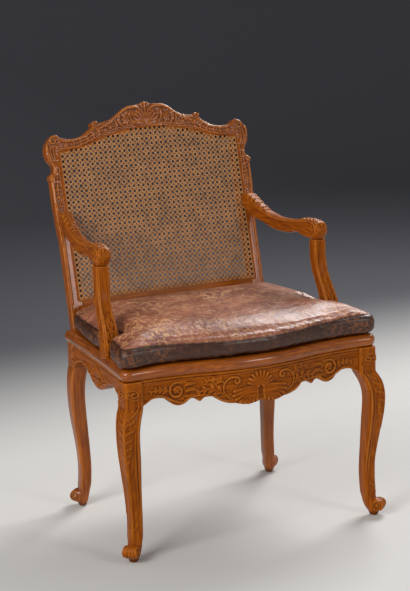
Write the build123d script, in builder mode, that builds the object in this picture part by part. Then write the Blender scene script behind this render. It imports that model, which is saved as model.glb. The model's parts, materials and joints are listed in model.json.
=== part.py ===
"""Carved cane armchair with a loose leather squab, sizes in millimetres.

X runs to the viewer's right, Y runs from the front to the back and Z runs up.
The origin is on the floor, below the middle of the chair's box.
Pieces of the right side are modelled and the left ones are their mirror images.
"""

import os
from math import cos, radians, sin, sqrt, tan

from build123d import *

# Overall sizes
overall_height = 957.0
seat_height = 441.0
seat_depth = 466.0
seat_front_width = 652.0
seat_rear_width = 562.0
back_width = 526.0
back_rake = 13.8

# Moulded seat frame
seat_frame_thickness = 29.0
nosing_radius = 13.0
front_bow_half_width = 125.0
front_bow_depth = 16.0
front_corner_setback = 31.0
front_corner_radius = 20.0
rear_corner_radius = 10.0
side_hollow = 5.0
rear_overhang = 18.0
front_member_depth = 86.0
side_member_front_width = 64.0
side_member_rear_width = 55.0
rear_member_depth = 59.0

# Seat rails below the frame
rail_thickness = 28.0
rail_setback = 8.0
rail_end_height = 60.0
front_rail_arch = 15.0
front_rail_lobe = 6.0
front_rail_lobe_x = 180.0
front_rail_step = 6.0
front_rail_middle_height = 81.0
front_rail_middle_half_width = 112.0
front_rail_shell_half_width = 62.0
side_rail_arch = 14.0
side_rail_middle_height = 66.0
side_rail_middle_half_width = 62.0
rear_rail_height = 56.0

# Front legs
front_knee_drop = 52.0
front_leg_block = 45.0
front_leg_inset = 6.0
front_leg_setback = 35.0
front_leg_swing = 22.0
front_leg_ankle_swing = 4.0
front_leg_ankle = 29.5
front_foot_swing = 20.5

# Rear legs
rear_knee_drop = 67.0
rear_leg_block = 38.0
rear_leg_inset = 7.0
rear_leg_swing = 8.0
rear_leg_ankle_swing = -5.5
rear_leg_ankle = 27.5
rear_foot_swing = 4.0

# Shared by all legs
leg_corner_share = 0.16
leg_curve = [(0.75, 0.85), (0.5, 0.48), (0.25, 0.12)]
knee_rise_share = 0.72
knee_taper = 2.0
ankle_height = 90.0
scroll_flick = 4.0
scroll_radius = 13.0
scroll_width = 38.0
scroll_reach = 12.0
scroll_height = 27.0
pad_radius = 12.0
pad_height = 10.0

# Back frame
back_thickness = 26.0
stile_inner_inset = 35.0
stile_root_depth = 32.0
stile_foot_inset = 2.0
stile_straight_height = 200.0
stile_swell = 6.0
stile_swell_drop = 38.0
stile_nub_drop = 158.0
stile_nub_reach = 7.0
stile_neck_drop = 145.0
stile_neck_depth = 5.0
crest_joint_drop = 124.0
lower_rail_top = 517.0
lower_rail_height = 58.0

# Crest rail outline
ear_reach = 8.0
ear_side_drop = 95.0
ear_top_inset = 13.0
ear_top_drop = 62.0
ear_inner_inset = 31.0
ear_inner_drop = 68.0
crest_dip_inset = 58.0
crest_dip_drop = 73.0
crest_rise_inset = 92.0
crest_rise_drop = 67.0
crest_scroll_x = 136.0
crest_scroll_drop = 36.0
crest_scroll_radius = 8.5
crest_slope_x = 92.0
crest_slope_drop = 35.0
crest_shoulder_x = 50.0
crest_shoulder_drop = 9.0
crest_top_drop = 6.0
finial_half_width = 14.0

# Cane panels
cane_thickness = 2.2
cane_border = 12.0
cane_pitch = 25.0
cane_strand = 4.0
back_cane_shoulder_x = 145.0
back_cane_shoulder_drop = 82.0
back_cane_top_drop = 58.0
back_cane_side_drop = 99.0

# Arms
arm_root_height = 684.0
arm_crown_height = 661.0
arm_crown_depth = 46.0
arm_end_width = 30.0
arm_end_x = 280.0
arm_scroll_run = 235.0
arm_scroll_radius = 22.5
arm_scroll_width = 33.0
arm_corner_radius = 9.0
# Each station: shares of the run from stile to scroll and of the root's rise, then width and depth
arm_stations = [
    (-0.08, 1.2, 30.0, 38.0),
    (0.15, 0.76, 30.0, 43.0),
    (0.26, 0.2, 30.0, 41.0),
    (0.44, -0.17, 31.0, 35.0),
    (0.56, -0.22, 31.0, 34.0),
    (0.73, -0.13, 31.0, 38.0),
    (0.89, 0.0, arm_end_width, arm_crown_depth),
    (1.05, -0.1, arm_end_width, 38.0),
]

# Arm supports
support_base_x = 285.0
support_base_run = 186.0
support_base_size = 40.0
support_top_x = 280.0
support_top_run = 237.0
support_top_size = 29.0
# Each station: shares of the way up, the base's forward place, its spread and its extra size
support_stations = [
    (-0.05, 1.0, 1.0, 1.0),
    (0.15, 0.92, 1.1, 0.7),
    (0.3, 0.78, 1.15, 0.4),
    (0.46, 0.43, 1.0, 0.1),
    (0.63, 0.12, 0.5, 0.0),
    (0.82, 0.0, 0.15, 0.0),
    (1.1, 0.0, 0.0, 0.3),
]

# Joints
tenon_thickness = 10.0
tenon_length = 16.0
rail_tenon_height = 38.0
rail_tenon_drop = 8.0
front_tenon_shift = 1.5
side_front_tenon_shift = 3.0
side_rear_tenon_shift = 7.0
rear_tenon_shift = 3.0
stile_tenon_width = 16.0
stile_tenon_length = 24.0
lower_tenon_height = 30.0
arm_tenon_height = 28.0
support_tenon_radius = 7.0
support_tenon_length = 18.0
seat_tenon_width = 40.0
seat_rear_tenon_width = 22.0
seat_rear_tenon_inset = 6.0
mortise_clearance = 0.1
mortise_end_gap = 0.5
peg_radius = 3.5
peg_clearance = 0.05
rail_peg_spacing = 22.0

# Leather squab
squab_gap = 0.3
squab_edge_inset = 6.0
squab_boxing_height = 44.0
squab_crown_height = 31.0
squab_belly = 5.0
squab_corner_radius = 16.0
squab_back_gap = 4.0
squab_notch_clearance = 8.0
squab_notch_lift_room = 32.0
squab_notch_fade = 4.0
# Each step of the crown: shares of its height, of the squab's outline and of the notch's depth
squab_crown_steps = [
    (0.3, 0.95, 0.8),
    (0.6, 0.86, 0.5),
    (0.82, 0.72, 0.2),
    (0.94, 0.55, 0.1),
    (1.0, 0.38, 0.05),
]
leather_thickness = 2.5
filling_gap = 0.4

# Places worked out from the sizes above
rake = radians(back_rake)
overall_depth = seat_depth + (overall_height - seat_height) * tan(rake) + back_thickness * cos(rake)
front_y = -overall_depth / 2
back_y = front_y + seat_depth
seat_bottom = seat_height - seat_frame_thickness
seat_rear_y = back_y + rear_overhang
rail_end_z = seat_bottom - rail_end_height
opening_front_y = front_y + front_member_depth
opening_rear_y = seat_rear_y - rear_member_depth
opening_front_x = seat_front_width / 2 - side_member_front_width
opening_rear_x = seat_rear_width / 2 - side_member_rear_width
back_half = back_width / 2
stile_inner_x = back_half - stile_inner_inset
stile_middle_x = back_half - stile_inner_inset / 2
crest_joint_z = overall_height - crest_joint_drop
stile_root_z = seat_bottom - stile_root_depth
diagonal = 1 / sqrt(2)

front_leg_x = seat_front_width / 2 - front_leg_inset - front_leg_block / 2
front_leg_y = front_y + front_leg_setback + front_leg_block / 2
front_leg_inner_x = front_leg_x - front_leg_block / 2
front_leg_outer_x = front_leg_x + front_leg_block / 2
front_leg_front_y = front_leg_y - front_leg_block / 2
front_leg_rear_y = front_leg_y + front_leg_block / 2
rear_leg_x = seat_rear_width / 2 - rear_leg_inset - rear_leg_block / 2
rear_leg_y = seat_rear_y - rail_setback - rail_thickness + rear_leg_block / 2
rear_leg_inner_x = rear_leg_x - rear_leg_block / 2
rear_leg_outer_x = rear_leg_x + rear_leg_block / 2
rear_leg_rear_y = rear_leg_y + rear_leg_block / 2
rear_leg_front_y = rear_leg_y - rear_leg_block / 2

# The plane of the back's front face: x to the right, y up along the back
back_plane = Plane(origin=(0, back_y, seat_height), x_dir=(1, 0, 0), z_dir=(0, -cos(rake), sin(rake)))


def up(height):
    """Distance along the back for a height above the floor."""
    return (height - seat_height) / cos(rake)


def on_back(x, height, depth=0.0):
    """Point behind the back's front face by a depth, at a height above the floor."""
    return back_plane.from_local_coords((x, up(height), -depth))


def corner_box(low, high, mode=Mode.ADD):
    """Box between two opposite corners, inside the open part."""
    with Locations(low):
        Box(*[b - a for a, b in zip(low, high)], align=(Align.MIN, Align.MIN, Align.MIN), mode=mode)


def tenon(plane, width, height, length):
    """Tenon that stands on a plane, inside the open part."""
    with Locations(plane):
        Box(width, height, length, align=(Align.CENTER, Align.CENTER, Align.MIN))


def mortise(plane, width, height, length):
    """Mortise for the tenon of the same sizes, cut in the open part."""
    room = 2 * mortise_clearance
    with Locations(plane):
        Box(
            width + room,
            height + room,
            length + mortise_end_gap,
            align=(Align.CENTER, Align.CENTER, Align.MIN),
            mode=Mode.SUBTRACT,
        )


def peg_holes(pegs):
    """Holes for pegs, each a plane and a length, cut in the open part."""
    for plane, length in pegs.values():
        with Locations(plane):
            Cylinder(
                peg_radius + peg_clearance,
                length,
                align=(Align.CENTER, Align.CENTER, Align.MIN),
                mode=Mode.SUBTRACT,
            )


def save(part, name):
    """Names a finished piece and writes its file."""
    part.label = name
    export_step(part, f"parts/{name}.step")


def save_pair(part, name):
    """Writes a right piece and its mirror image on the left."""
    save(part, f"{name}_right")
    with BuildPart() as left:
        mirror(part, about=Plane.YZ)
    save(left.part, f"{name}_left")


os.makedirs("parts", exist_ok=True)

# Outline of the seat: bowed front, hollow sides, straight rear
with BuildSketch() as seat_outline:
    with BuildLine():
        bow = TangentArc(
            (0, front_y), (front_bow_half_width, front_y + front_bow_depth), tangent=(1, 0)
        )
        hollow = TangentArc(
            bow @ 1, (seat_front_width / 2, front_y + front_corner_setback), tangent=bow % 1
        )
        side_start = hollow @ 1
        side_end = Vector(seat_rear_width / 2, seat_rear_y)
        side_waist = (side_start + side_end) / 2 - Vector(side_hollow, 0)
        ThreePointArc(side_start, side_waist, side_end)
        Line(side_end, (0, seat_rear_y))
        mirror(about=Plane.YZ)
    make_face()
    fillet(seat_outline.vertices().sort_by(lambda v: abs(v.X))[-2:], front_corner_radius)
    rear_vertices = seat_outline.vertices().group_by(Axis.Y)[-1]
    fillet(rear_vertices.sort_by(lambda v: abs(v.X))[-2:], rear_corner_radius)

# Opening of the seat frame
with BuildSketch() as seat_opening:
    with BuildLine():
        Polyline(
            (opening_front_x, opening_front_y),
            (opening_rear_x, opening_rear_y),
            (-opening_rear_x, opening_rear_y),
            (-opening_front_x, opening_front_y),
            close=True,
        )
    make_face()

with BuildSketch() as seat_cane_outline:
    offset(seat_opening.sketch, amount=cane_border, kind=Kind.INTERSECTION)

# Seat frame before it is divided into its members
with BuildPart() as seat_ring:
    with BuildSketch(Plane.XY.offset(seat_bottom)):
        add(seat_outline.sketch)
    extrude(amount=seat_frame_thickness)
    fillet(seat_ring.faces().filter_by(Axis.Z).edges(), nosing_radius)
    with BuildSketch(Plane.XY.offset(seat_bottom)):
        add(seat_opening.sketch)
    extrude(amount=seat_frame_thickness, mode=Mode.SUBTRACT)
    with BuildSketch(Plane.XY.offset(seat_height)):
        add(seat_cane_outline.sketch)
    extrude(amount=-cane_thickness, mode=Mode.SUBTRACT)

# Rails before they are divided: a band that follows the seat's outline
with BuildPart() as rail_ring:
    with BuildSketch(Plane.XY.offset(seat_bottom)):
        offset(seat_outline.sketch, amount=-rail_setback)
        offset(seat_outline.sketch, amount=-rail_setback - rail_thickness, mode=Mode.SUBTRACT)
    extrude(amount=-front_rail_middle_height)

# Joints between rails and legs, each a plane that faces the way the tenon points
rail_tenon = (tenon_thickness, rail_tenon_height, tenon_length)
rail_tenon_z = seat_bottom - rail_tenon_drop - rail_tenon_height / 2
front_rail_y = front_leg_y - front_tenon_shift
front_rail_joint = Plane((front_leg_inner_x, front_rail_y, rail_tenon_z), (0, 1, 0), (1, 0, 0))
side_rail_front_x = front_leg_x + side_front_tenon_shift
side_rail_front_joint = Plane((side_rail_front_x, front_leg_rear_y, rail_tenon_z), (1, 0, 0), (0, -1, 0))
side_rail_rear_x = rear_leg_x + side_rear_tenon_shift
side_rail_rear_joint = Plane((side_rail_rear_x, rear_leg_front_y, rail_tenon_z), (1, 0, 0), (0, 1, 0))
rear_rail_y = rear_leg_y - rear_tenon_shift
rear_rail_joint = Plane((rear_leg_inner_x, rear_rail_y, rail_tenon_z), (0, 1, 0), (1, 0, 0))

# Pegs of the rails: two through each tenon, driven in from the outer face of the leg
tenon_middle = tenon_length / 2
peg_levels = {
    "upper": rail_tenon_z + rail_peg_spacing / 2,
    "lower": rail_tenon_z - rail_peg_spacing / 2,
}
front_rail_pegs = {}
side_front_pegs = {}
side_rear_pegs = {}
rear_rail_pegs = {}
for level, level_z in peg_levels.items():
    front_rail_pegs[level] = (
        Plane((front_leg_inner_x + tenon_middle, front_leg_front_y, level_z), (1, 0, 0), (0, 1, 0)),
        front_rail_y + tenon_thickness - front_leg_front_y,
    )
    side_front_pegs[level] = (
        Plane((front_leg_outer_x, front_leg_rear_y - tenon_middle, level_z), (0, 1, 0), (-1, 0, 0)),
        front_leg_outer_x - side_rail_front_x + tenon_thickness,
    )
    side_rear_pegs[level] = (
        Plane((rear_leg_outer_x, rear_leg_front_y + tenon_middle, level_z), (0, 1, 0), (-1, 0, 0)),
        rear_leg_outer_x - side_rail_rear_x + tenon_thickness,
    )
    rear_rail_pegs[level] = (
        Plane((rear_leg_inner_x + tenon_middle, rear_leg_rear_y, level_z), (1, 0, 0), (0, -1, 0)),
        rear_leg_rear_y - rear_rail_y + tenon_thickness,
    )

# Front rail: arches beside the legs, lobes, and a deep middle below the shell
front_rail_lobe_z = rail_end_z - front_rail_lobe
front_rail_step_z = rail_end_z + front_rail_step
front_rail_low_z = seat_bottom - front_rail_middle_height
front_arch_x = (front_rail_lobe_x + front_leg_inner_x) / 2
with BuildPart() as front_rail:
    add(rail_ring.part)
    with BuildSketch(Plane((0, front_leg_rear_y, 0), (1, 0, 0), (0, -1, 0))):
        with BuildLine():
            Polyline(
                (0, front_rail_low_z + front_rail_step),
                (0, seat_bottom),
                (front_leg_inner_x, seat_bottom),
                (front_leg_inner_x, rail_end_z),
            )
            arch = ThreePointArc(
                (front_leg_inner_x, rail_end_z),
                (front_arch_x + front_rail_step, rail_end_z + front_rail_arch),
                (front_arch_x - front_rail_arch, rail_end_z + front_rail_step),
            )
            lobe = ThreePointArc(
                arch @ 1,
                (front_rail_lobe_x, front_rail_lobe_z),
                (front_rail_lobe_x - front_rail_arch, front_rail_step_z),
            )
            Line(lobe @ 1, (front_rail_middle_half_width, front_rail_step_z))
            sweep_in = ThreePointArc(
                (front_rail_middle_half_width, front_rail_step_z),
                (front_rail_middle_half_width - front_rail_arch, rail_end_z - front_rail_step),
                (front_rail_shell_half_width, front_rail_low_z + front_rail_step),
            )
            ThreePointArc(
                sweep_in @ 1,
                (front_rail_shell_half_width / 2, front_rail_low_z),
                (0, front_rail_low_z + front_rail_step),
            )
        make_face()
    extrude(amount=front_leg_rear_y - front_y, mode=Mode.INTERSECT)
    tenon(front_rail_joint, *rail_tenon)
    peg_holes(front_rail_pegs)
    mirror(about=Plane.YZ)
save(front_rail.part, "front_rail")

# Side rails: an arch beside each leg and a lobe in the middle
side_rail_middle_y = (front_leg_rear_y + rear_leg_front_y) / 2
side_rail_lobe_z = seat_bottom - side_rail_middle_height
side_rail_arch_z = rail_end_z + side_rail_arch
with BuildPart() as side_rail:
    add(rail_ring.part)
    with BuildSketch(Plane.YZ):
        with BuildLine():
            Polyline(
                (front_leg_rear_y, rail_end_z),
                (front_leg_rear_y, seat_bottom),
                (rear_leg_front_y, seat_bottom),
                (rear_leg_front_y, rail_end_z),
            )
            side_lobe = ThreePointArc(
                (side_rail_middle_y - side_rail_middle_half_width, side_rail_arch_z),
                (side_rail_middle_y, side_rail_lobe_z),
                (side_rail_middle_y + side_rail_middle_half_width, side_rail_arch_z),
            )
            TangentArc((front_leg_rear_y, rail_end_z), side_lobe @ 0, tangent=(1, 1))
            TangentArc((rear_leg_front_y, rail_end_z), side_lobe @ 1, tangent=(-1, 1))
        make_face()
    extrude(amount=seat_front_width / 2, mode=Mode.INTERSECT)
    with Locations(side_rail_front_joint, side_rail_rear_joint):
        Box(*rail_tenon, align=(Align.CENTER, Align.CENTER, Align.MIN))
    peg_holes(side_front_pegs)
    peg_holes(side_rear_pegs)
save_pair(side_rail.part, "side_rail")

# Rear rail, with a plain lower edge
with BuildPart() as rear_rail:
    add(rail_ring.part)
    corner_box(
        (0, opening_rear_y, seat_bottom - rear_rail_height),
        (rear_leg_inner_x, seat_rear_y, seat_bottom),
        mode=Mode.INTERSECT,
    )
    tenon(rear_rail_joint, *rail_tenon)
    peg_holes(rear_rail_pegs)
    mirror(about=Plane.YZ)
save(rear_rail.part, "rear_rail")


def leg(centre_x, centre_y, outward_y, block, steps, foot_swing):
    """Cabriole leg up to the seat frame, curved along the seat's diagonal.

    Each step is a height, how far the leg swings outward there, and its thickness.
    """
    with BuildPart() as piece:
        with BuildSketch(Plane((centre_x, centre_y, rail_end_z))):
            RectangleRounded(block, block, block * leg_corner_share)
        extrude(amount=rail_end_height)
        foot = (pad_height, foot_swing, 2 * pad_radius)
        for height, swing, thickness in [(rail_end_z, 0, block), *steps, foot]:
            shift = swing * diagonal
            with BuildSketch(Plane((centre_x + shift, centre_y + outward_y * shift, height))):
                RectangleRounded(thickness, thickness, thickness * leg_corner_share)
        loft()
        scroll_shift = (foot_swing + scroll_reach) * diagonal
        scroll_centre = (centre_x + scroll_shift, centre_y + outward_y * scroll_shift, scroll_height)
        with Locations(Plane(scroll_centre, z_dir=(1, -outward_y, 0))):
            Cylinder(scroll_radius, scroll_width)
        pad_shift = foot_swing * diagonal
        with Locations((centre_x + pad_shift, centre_y + outward_y * pad_shift, 0)):
            Cylinder(pad_radius, pad_height, align=(Align.CENTER, Align.CENTER, Align.MIN))
    return piece.part


def leg_steps(knee_z, block, ankle, knee_swing, ankle_swing):
    """Steps of a leg from above its knee down to its scroll."""
    steps = [
        ((rail_end_z + knee_z) / 2, knee_swing * knee_rise_share, block),
        (knee_z, knee_swing, block - knee_taper),
    ]
    for height_share, curve_share in leg_curve:
        steps.append(
            (
                ankle_height + height_share * (knee_z - ankle_height),
                ankle_swing + curve_share * (knee_swing - ankle_swing),
                ankle + curve_share * (block - knee_taper - ankle),
            )
        )
    steps.append((ankle_height, ankle_swing, ankle))
    steps.append((ankle_height / 2, ankle_swing + scroll_flick, ankle))
    return steps


# Front legs
front_leg_steps = leg_steps(
    rail_end_z - front_knee_drop,
    front_leg_block,
    front_leg_ankle,
    front_leg_swing,
    front_leg_ankle_swing,
)
with BuildPart() as front_leg:
    add(leg(front_leg_x, front_leg_y, -1, front_leg_block, front_leg_steps, front_foot_swing))
    mortise(front_rail_joint, *rail_tenon)
    mortise(side_rail_front_joint, *rail_tenon)
    peg_holes(front_rail_pegs)
    peg_holes(side_front_pegs)
save_pair(front_leg.part, "front_leg")

# Outline of the cane panel in the back, and the opening behind it
back_cane_half = stile_inner_x + cane_border
with BuildSketch() as back_cane_outline:
    with BuildLine():
        back_cane_low = up(lower_rail_top) - cane_border
        back_cane_side = up(overall_height - back_cane_side_drop)
        crown_arc = TangentArc(
            (0, up(overall_height - back_cane_top_drop)),
            (back_cane_shoulder_x, up(overall_height - back_cane_shoulder_drop)),
            tangent=(1, 0),
        )
        TangentArc(crown_arc @ 1, (stile_inner_x, back_cane_side), tangent=crown_arc % 1)
        Polyline(
            (stile_inner_x, back_cane_side),
            (back_cane_half, back_cane_side),
            (back_cane_half, back_cane_low),
            (0, back_cane_low),
        )
        mirror(about=Plane.YZ)
    make_face()
with BuildSketch() as back_opening:
    offset(back_cane_outline.sketch, amount=-cane_border, kind=Kind.INTERSECTION)

# Back stile, drawn on the face of the back
stile_outer_x = back_half - stile_foot_inset
nub_z = overall_height - stile_nub_drop
neck_z = overall_height - stile_neck_drop
swell_z = nub_z - stile_swell_drop
swell_x = stile_outer_x + stile_swell
with BuildSketch() as stile_outline:
    with BuildLine():
        Polyline(
            (stile_outer_x, up(seat_height + stile_straight_height)),
            (stile_outer_x, up(stile_root_z)),
            (stile_inner_x, up(stile_root_z)),
            (stile_inner_x, up(crest_joint_z)),
            (back_half, up(crest_joint_z)),
        )
        neck = ThreePointArc(
            (back_half, up(crest_joint_z)),
            (back_half - stile_neck_depth, up(neck_z)),
            (back_half, up((neck_z + nub_z) / 2)),
        )
        nub = ThreePointArc(
            neck @ 1,
            (back_half + stile_nub_reach, up(nub_z)),
            (swell_x, up(nub_z - stile_nub_reach)),
        )
        Line(nub @ 1, (swell_x, up(swell_z)))
        TangentArc(
            (swell_x, up(swell_z)),
            (stile_outer_x, up(seat_height + stile_straight_height)),
            tangent=(0, -1),
        )
    make_face()
with BuildPart() as stile:
    with BuildSketch(back_plane):
        add(stile_outline.sketch)
    extrude(amount=-back_thickness)
    split(bisect_by=Plane.XY.offset(seat_bottom), keep=Keep.TOP)

# Joints of the back, each a plane that faces the way the tenon points
back_middle = back_thickness / 2
along_back = back_plane.y_dir
into_back = -back_plane.z_dir
crest_tenon = (stile_tenon_width, tenon_thickness, stile_tenon_length)
crest_joint = Plane(on_back(stile_middle_x, crest_joint_z, back_middle), (1, 0, 0), along_back)
lower_rail_middle_z = lower_rail_top - lower_rail_height / 2
lower_rail_tenon = (lower_tenon_height, tenon_thickness, tenon_length)
lower_rail_joint = Plane(on_back(stile_inner_x, lower_rail_middle_z, back_middle), along_back, (1, 0, 0))
arm_tenon = (tenon_thickness, arm_tenon_height, tenon_length)
arm_joint = Plane(on_back(stile_middle_x, arm_root_height), (1, 0, 0), into_back)

# Pegs of the back run through its whole thickness, those of the arms across the stiles
crest_peg_z = crest_joint_z + stile_tenon_length / 2
back_pegs = {
    "crest": (Plane(on_back(stile_middle_x, crest_peg_z), (1, 0, 0), into_back), back_thickness),
    "lower_rail": (
        Plane(on_back(stile_inner_x + tenon_middle, lower_rail_middle_z), (1, 0, 0), into_back),
        back_thickness,
    ),
}
arm_root_pegs = {
    "arm_root": (
        Plane(on_back(stile_inner_x + peg_radius, arm_root_height, tenon_middle), along_back, (1, 0, 0)),
        stile_inner_inset + stile_swell,
    ),
}

# Rear legs: the leg below the seat and the stile above it are one piece
rear_leg_steps = leg_steps(
    rail_end_z - rear_knee_drop, rear_leg_block, rear_leg_ankle, rear_leg_swing, rear_leg_ankle_swing
)
with BuildPart() as rear_leg_blank:
    add(leg(rear_leg_x, rear_leg_y, 1, rear_leg_block, rear_leg_steps, rear_foot_swing))
    add(stile.part)
with BuildPart() as rear_leg:
    add(rear_leg_blank.part)
    tenon(crest_joint, *crest_tenon)
    mortise(lower_rail_joint, *lower_rail_tenon)
    mortise(arm_joint, *arm_tenon)
    mortise(side_rail_rear_joint, *rail_tenon)
    mortise(rear_rail_joint, *rail_tenon)
    with BuildSketch(back_plane):
        add(back_cane_outline.sketch)
    extrude(amount=-cane_thickness, mode=Mode.SUBTRACT)
    peg_holes(back_pegs)
    peg_holes(arm_root_pegs)
    peg_holes(side_rear_pegs)
    peg_holes(rear_rail_pegs)
save_pair(rear_leg.part, "rear_leg")

# Crest rail: ears, a low run, a scroll and a raised middle with a finial
crest_top = overall_height - crest_top_drop
crest_scroll_z = overall_height - crest_scroll_drop - crest_scroll_radius
with BuildPart() as crest_rail:
    with BuildSketch(back_plane):
        with BuildLine():
            ear_top = (back_half - ear_top_inset, up(overall_height - ear_top_drop))
            ear_inner = (back_half - ear_inner_inset, up(overall_height - ear_inner_drop))
            ear = ThreePointArc(
                (back_half, up(crest_joint_z)),
                (back_half + ear_reach, up(overall_height - ear_side_drop)),
                ear_top,
            )
            TangentArc(ear @ 1, ear_inner, tangent=ear % 1)
            low_run = ThreePointArc(
                ear_inner,
                (back_half - crest_dip_inset, up(overall_height - crest_dip_drop)),
                (back_half - crest_rise_inset, up(overall_height - crest_rise_drop)),
            )
            slope_foot = (crest_slope_x, up(overall_height - crest_slope_drop))
            shoulder = (crest_shoulder_x, up(overall_height - crest_shoulder_drop))
            Polyline(low_run @ 1, (crest_scroll_x, up(crest_scroll_z)), slope_foot, shoulder)
            ThreePointArc(
                shoulder,
                ((crest_shoulder_x + finial_half_width) / 2, up(crest_top)),
                (finial_half_width, up(crest_top)),
            )
            TangentArc((0, up(overall_height)), (finial_half_width, up(crest_top)), tangent=(1, 0))
            Polyline((0, up(overall_height)), (0, up(crest_joint_z)), (back_half, up(crest_joint_z)))
        make_face()
        with Locations((crest_scroll_x, up(crest_scroll_z))):
            Circle(crest_scroll_radius)
        add(back_opening.sketch, mode=Mode.SUBTRACT)
    extrude(amount=-back_thickness)
    with BuildSketch(back_plane):
        add(back_cane_outline.sketch)
    extrude(amount=-cane_thickness, mode=Mode.SUBTRACT)
    mortise(crest_joint, *crest_tenon)
    peg_holes(back_pegs)
    mirror(about=Plane.YZ)
save(crest_rail.part, "crest_rail")

# Lower back rail
with BuildPart() as lower_back_rail:
    with BuildSketch(back_plane):
        with Locations((0, up(lower_rail_top))):
            Rectangle(stile_inner_x, lower_rail_height / cos(rake), align=(Align.MIN, Align.MAX))
    extrude(amount=-back_thickness)
    with BuildSketch(back_plane):
        add(back_cane_outline.sketch)
    extrude(amount=-cane_thickness, mode=Mode.SUBTRACT)
    tenon(lower_rail_joint, *lower_rail_tenon)
    peg_holes(back_pegs)
    mirror(about=Plane.YZ)
save(lower_back_rail.part, "lower_back_rail")

# Members of the seat frame
seat_middle_z = seat_bottom + seat_frame_thickness / 2
seat_front_tenon = (seat_tenon_width, tenon_thickness, tenon_length)
seat_front_joint_x = opening_front_x + cane_border + seat_tenon_width / 2
seat_front_joint = Plane((seat_front_joint_x, opening_front_y, seat_middle_z), (1, 0, 0), (0, -1, 0))
seat_rear_tenon = (seat_rear_tenon_width, tenon_thickness, tenon_length)
seat_rear_joint_y = opening_rear_y + seat_rear_tenon_inset + seat_rear_tenon_width / 2
seat_rear_joint = Plane((stile_inner_x, seat_rear_joint_y, seat_middle_z), (0, 1, 0), (1, 0, 0))
seat_frame_pegs = {
    "seat_front": (
        Plane((seat_front_joint_x, opening_front_y - tenon_middle, seat_bottom)),
        seat_frame_thickness,
    ),
    "seat_rear": (
        Plane((stile_inner_x + tenon_middle, seat_rear_joint_y, seat_bottom)),
        seat_frame_thickness,
    ),
}
support_tenon = (support_top_size / 2, support_top_size / 2, support_tenon_length)
support_base_y = front_y + support_base_run
support_base_joint = Plane((support_base_x, support_base_y, seat_height), (1, 0, 0), (0, 0, -1))

with BuildPart() as seat_frame_front:
    add(seat_ring.part)
    corner_box(
        (0, front_y, seat_bottom), (seat_front_width, opening_front_y, seat_height), mode=Mode.INTERSECT
    )
    mortise(seat_front_joint, *seat_front_tenon)
    peg_holes(seat_frame_pegs)
    mirror(about=Plane.YZ)
save(seat_frame_front.part, "seat_frame_front")

with BuildPart() as seat_frame_rear:
    add(seat_ring.part)
    corner_box(
        (0, opening_rear_y, seat_bottom), (stile_inner_x, seat_rear_y, seat_height), mode=Mode.INTERSECT
    )
    tenon(seat_rear_joint, *seat_rear_tenon)
    peg_holes(seat_frame_pegs)
    mirror(about=Plane.YZ)
save(seat_frame_rear.part, "seat_frame_rear")

with BuildPart() as seat_frame_side:
    add(seat_ring.part)
    corner_box(
        (0, opening_front_y, seat_bottom),
        (seat_front_width, seat_rear_y, seat_height),
        mode=Mode.INTERSECT,
    )
    corner_box(
        (0, opening_rear_y, seat_bottom), (stile_inner_x, seat_rear_y, seat_height), mode=Mode.SUBTRACT
    )
    add(stile.part, mode=Mode.SUBTRACT)
    tenon(seat_front_joint, *seat_front_tenon)
    mortise(seat_rear_joint, *seat_rear_tenon)
    mortise(support_base_joint, *support_tenon)
    peg_holes(seat_frame_pegs)
save_pair(seat_frame_side.part, "seat_frame_side")

# Arms: sections along the run from the stile, and a scroll at the end
arm_root = on_back(stile_middle_x, arm_root_height)
arm_scroll = Vector(arm_end_x, front_y + arm_scroll_run, arm_crown_height)
with BuildPart() as arm_blank:
    for share, rise, width, depth in arm_stations:
        station = arm_root + (arm_scroll - arm_root) * share
        centre_z = arm_crown_height + rise * (arm_root_height - arm_crown_height)
        centre = (station.X, station.Y, centre_z)
        with BuildSketch(Plane(centre, (1, 0, 0), (0, -1, 0))):
            RectangleRounded(width, depth, arm_corner_radius)
    loft()
    with Locations(Plane(arm_scroll, z_dir=(1, 0, 0))):
        Cylinder(arm_scroll_radius, arm_scroll_width)
    split(bisect_by=back_plane, keep=Keep.TOP)

# Arm supports: sections from the seat frame up, each a height, a place and a size
support_top_y = front_y + support_top_run
support_top_z = arm_crown_height - arm_crown_depth / 2
support_sections = []
for share, forward, spread, swell in support_stations:
    support_sections.append(
        (
            seat_height + share * (support_top_z - seat_height),
            support_top_x + spread * (support_base_x - support_top_x),
            support_top_y + forward * (support_base_y - support_top_y),
            support_top_size + swell * (support_base_size - support_top_size),
        )
    )
arm_bore = Plane((support_top_x, support_top_y, support_top_z - support_tenon_length / 2))
arm_bore_length = support_tenon_length * 3 / 2
arm_peg_x = support_top_x - support_tenon_radius - peg_radius
arm_peg_z = support_top_z + support_tenon_length / 2
arm_end_pegs = {
    "arm_end": (
        Plane((arm_peg_x, support_top_y, arm_peg_z), (0, 1, 0), (1, 0, 0)),
        arm_scroll_width,
    ),
}
with BuildPart() as arm_support:
    for height, section_x, section_y, size in support_sections:
        with BuildSketch(Plane((section_x, section_y, height))):
            RectangleRounded(size, size, size * leg_corner_share)
    loft()
    add(seat_ring.part, mode=Mode.SUBTRACT)
    add(arm_blank.part, mode=Mode.SUBTRACT)
    tenon(support_base_joint, *support_tenon)
    with Locations(arm_bore):
        Cylinder(support_tenon_radius, arm_bore_length, align=(Align.CENTER, Align.CENTER, Align.MIN))
    peg_holes(arm_end_pegs)
save_pair(arm_support.part, "arm_support")

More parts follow.
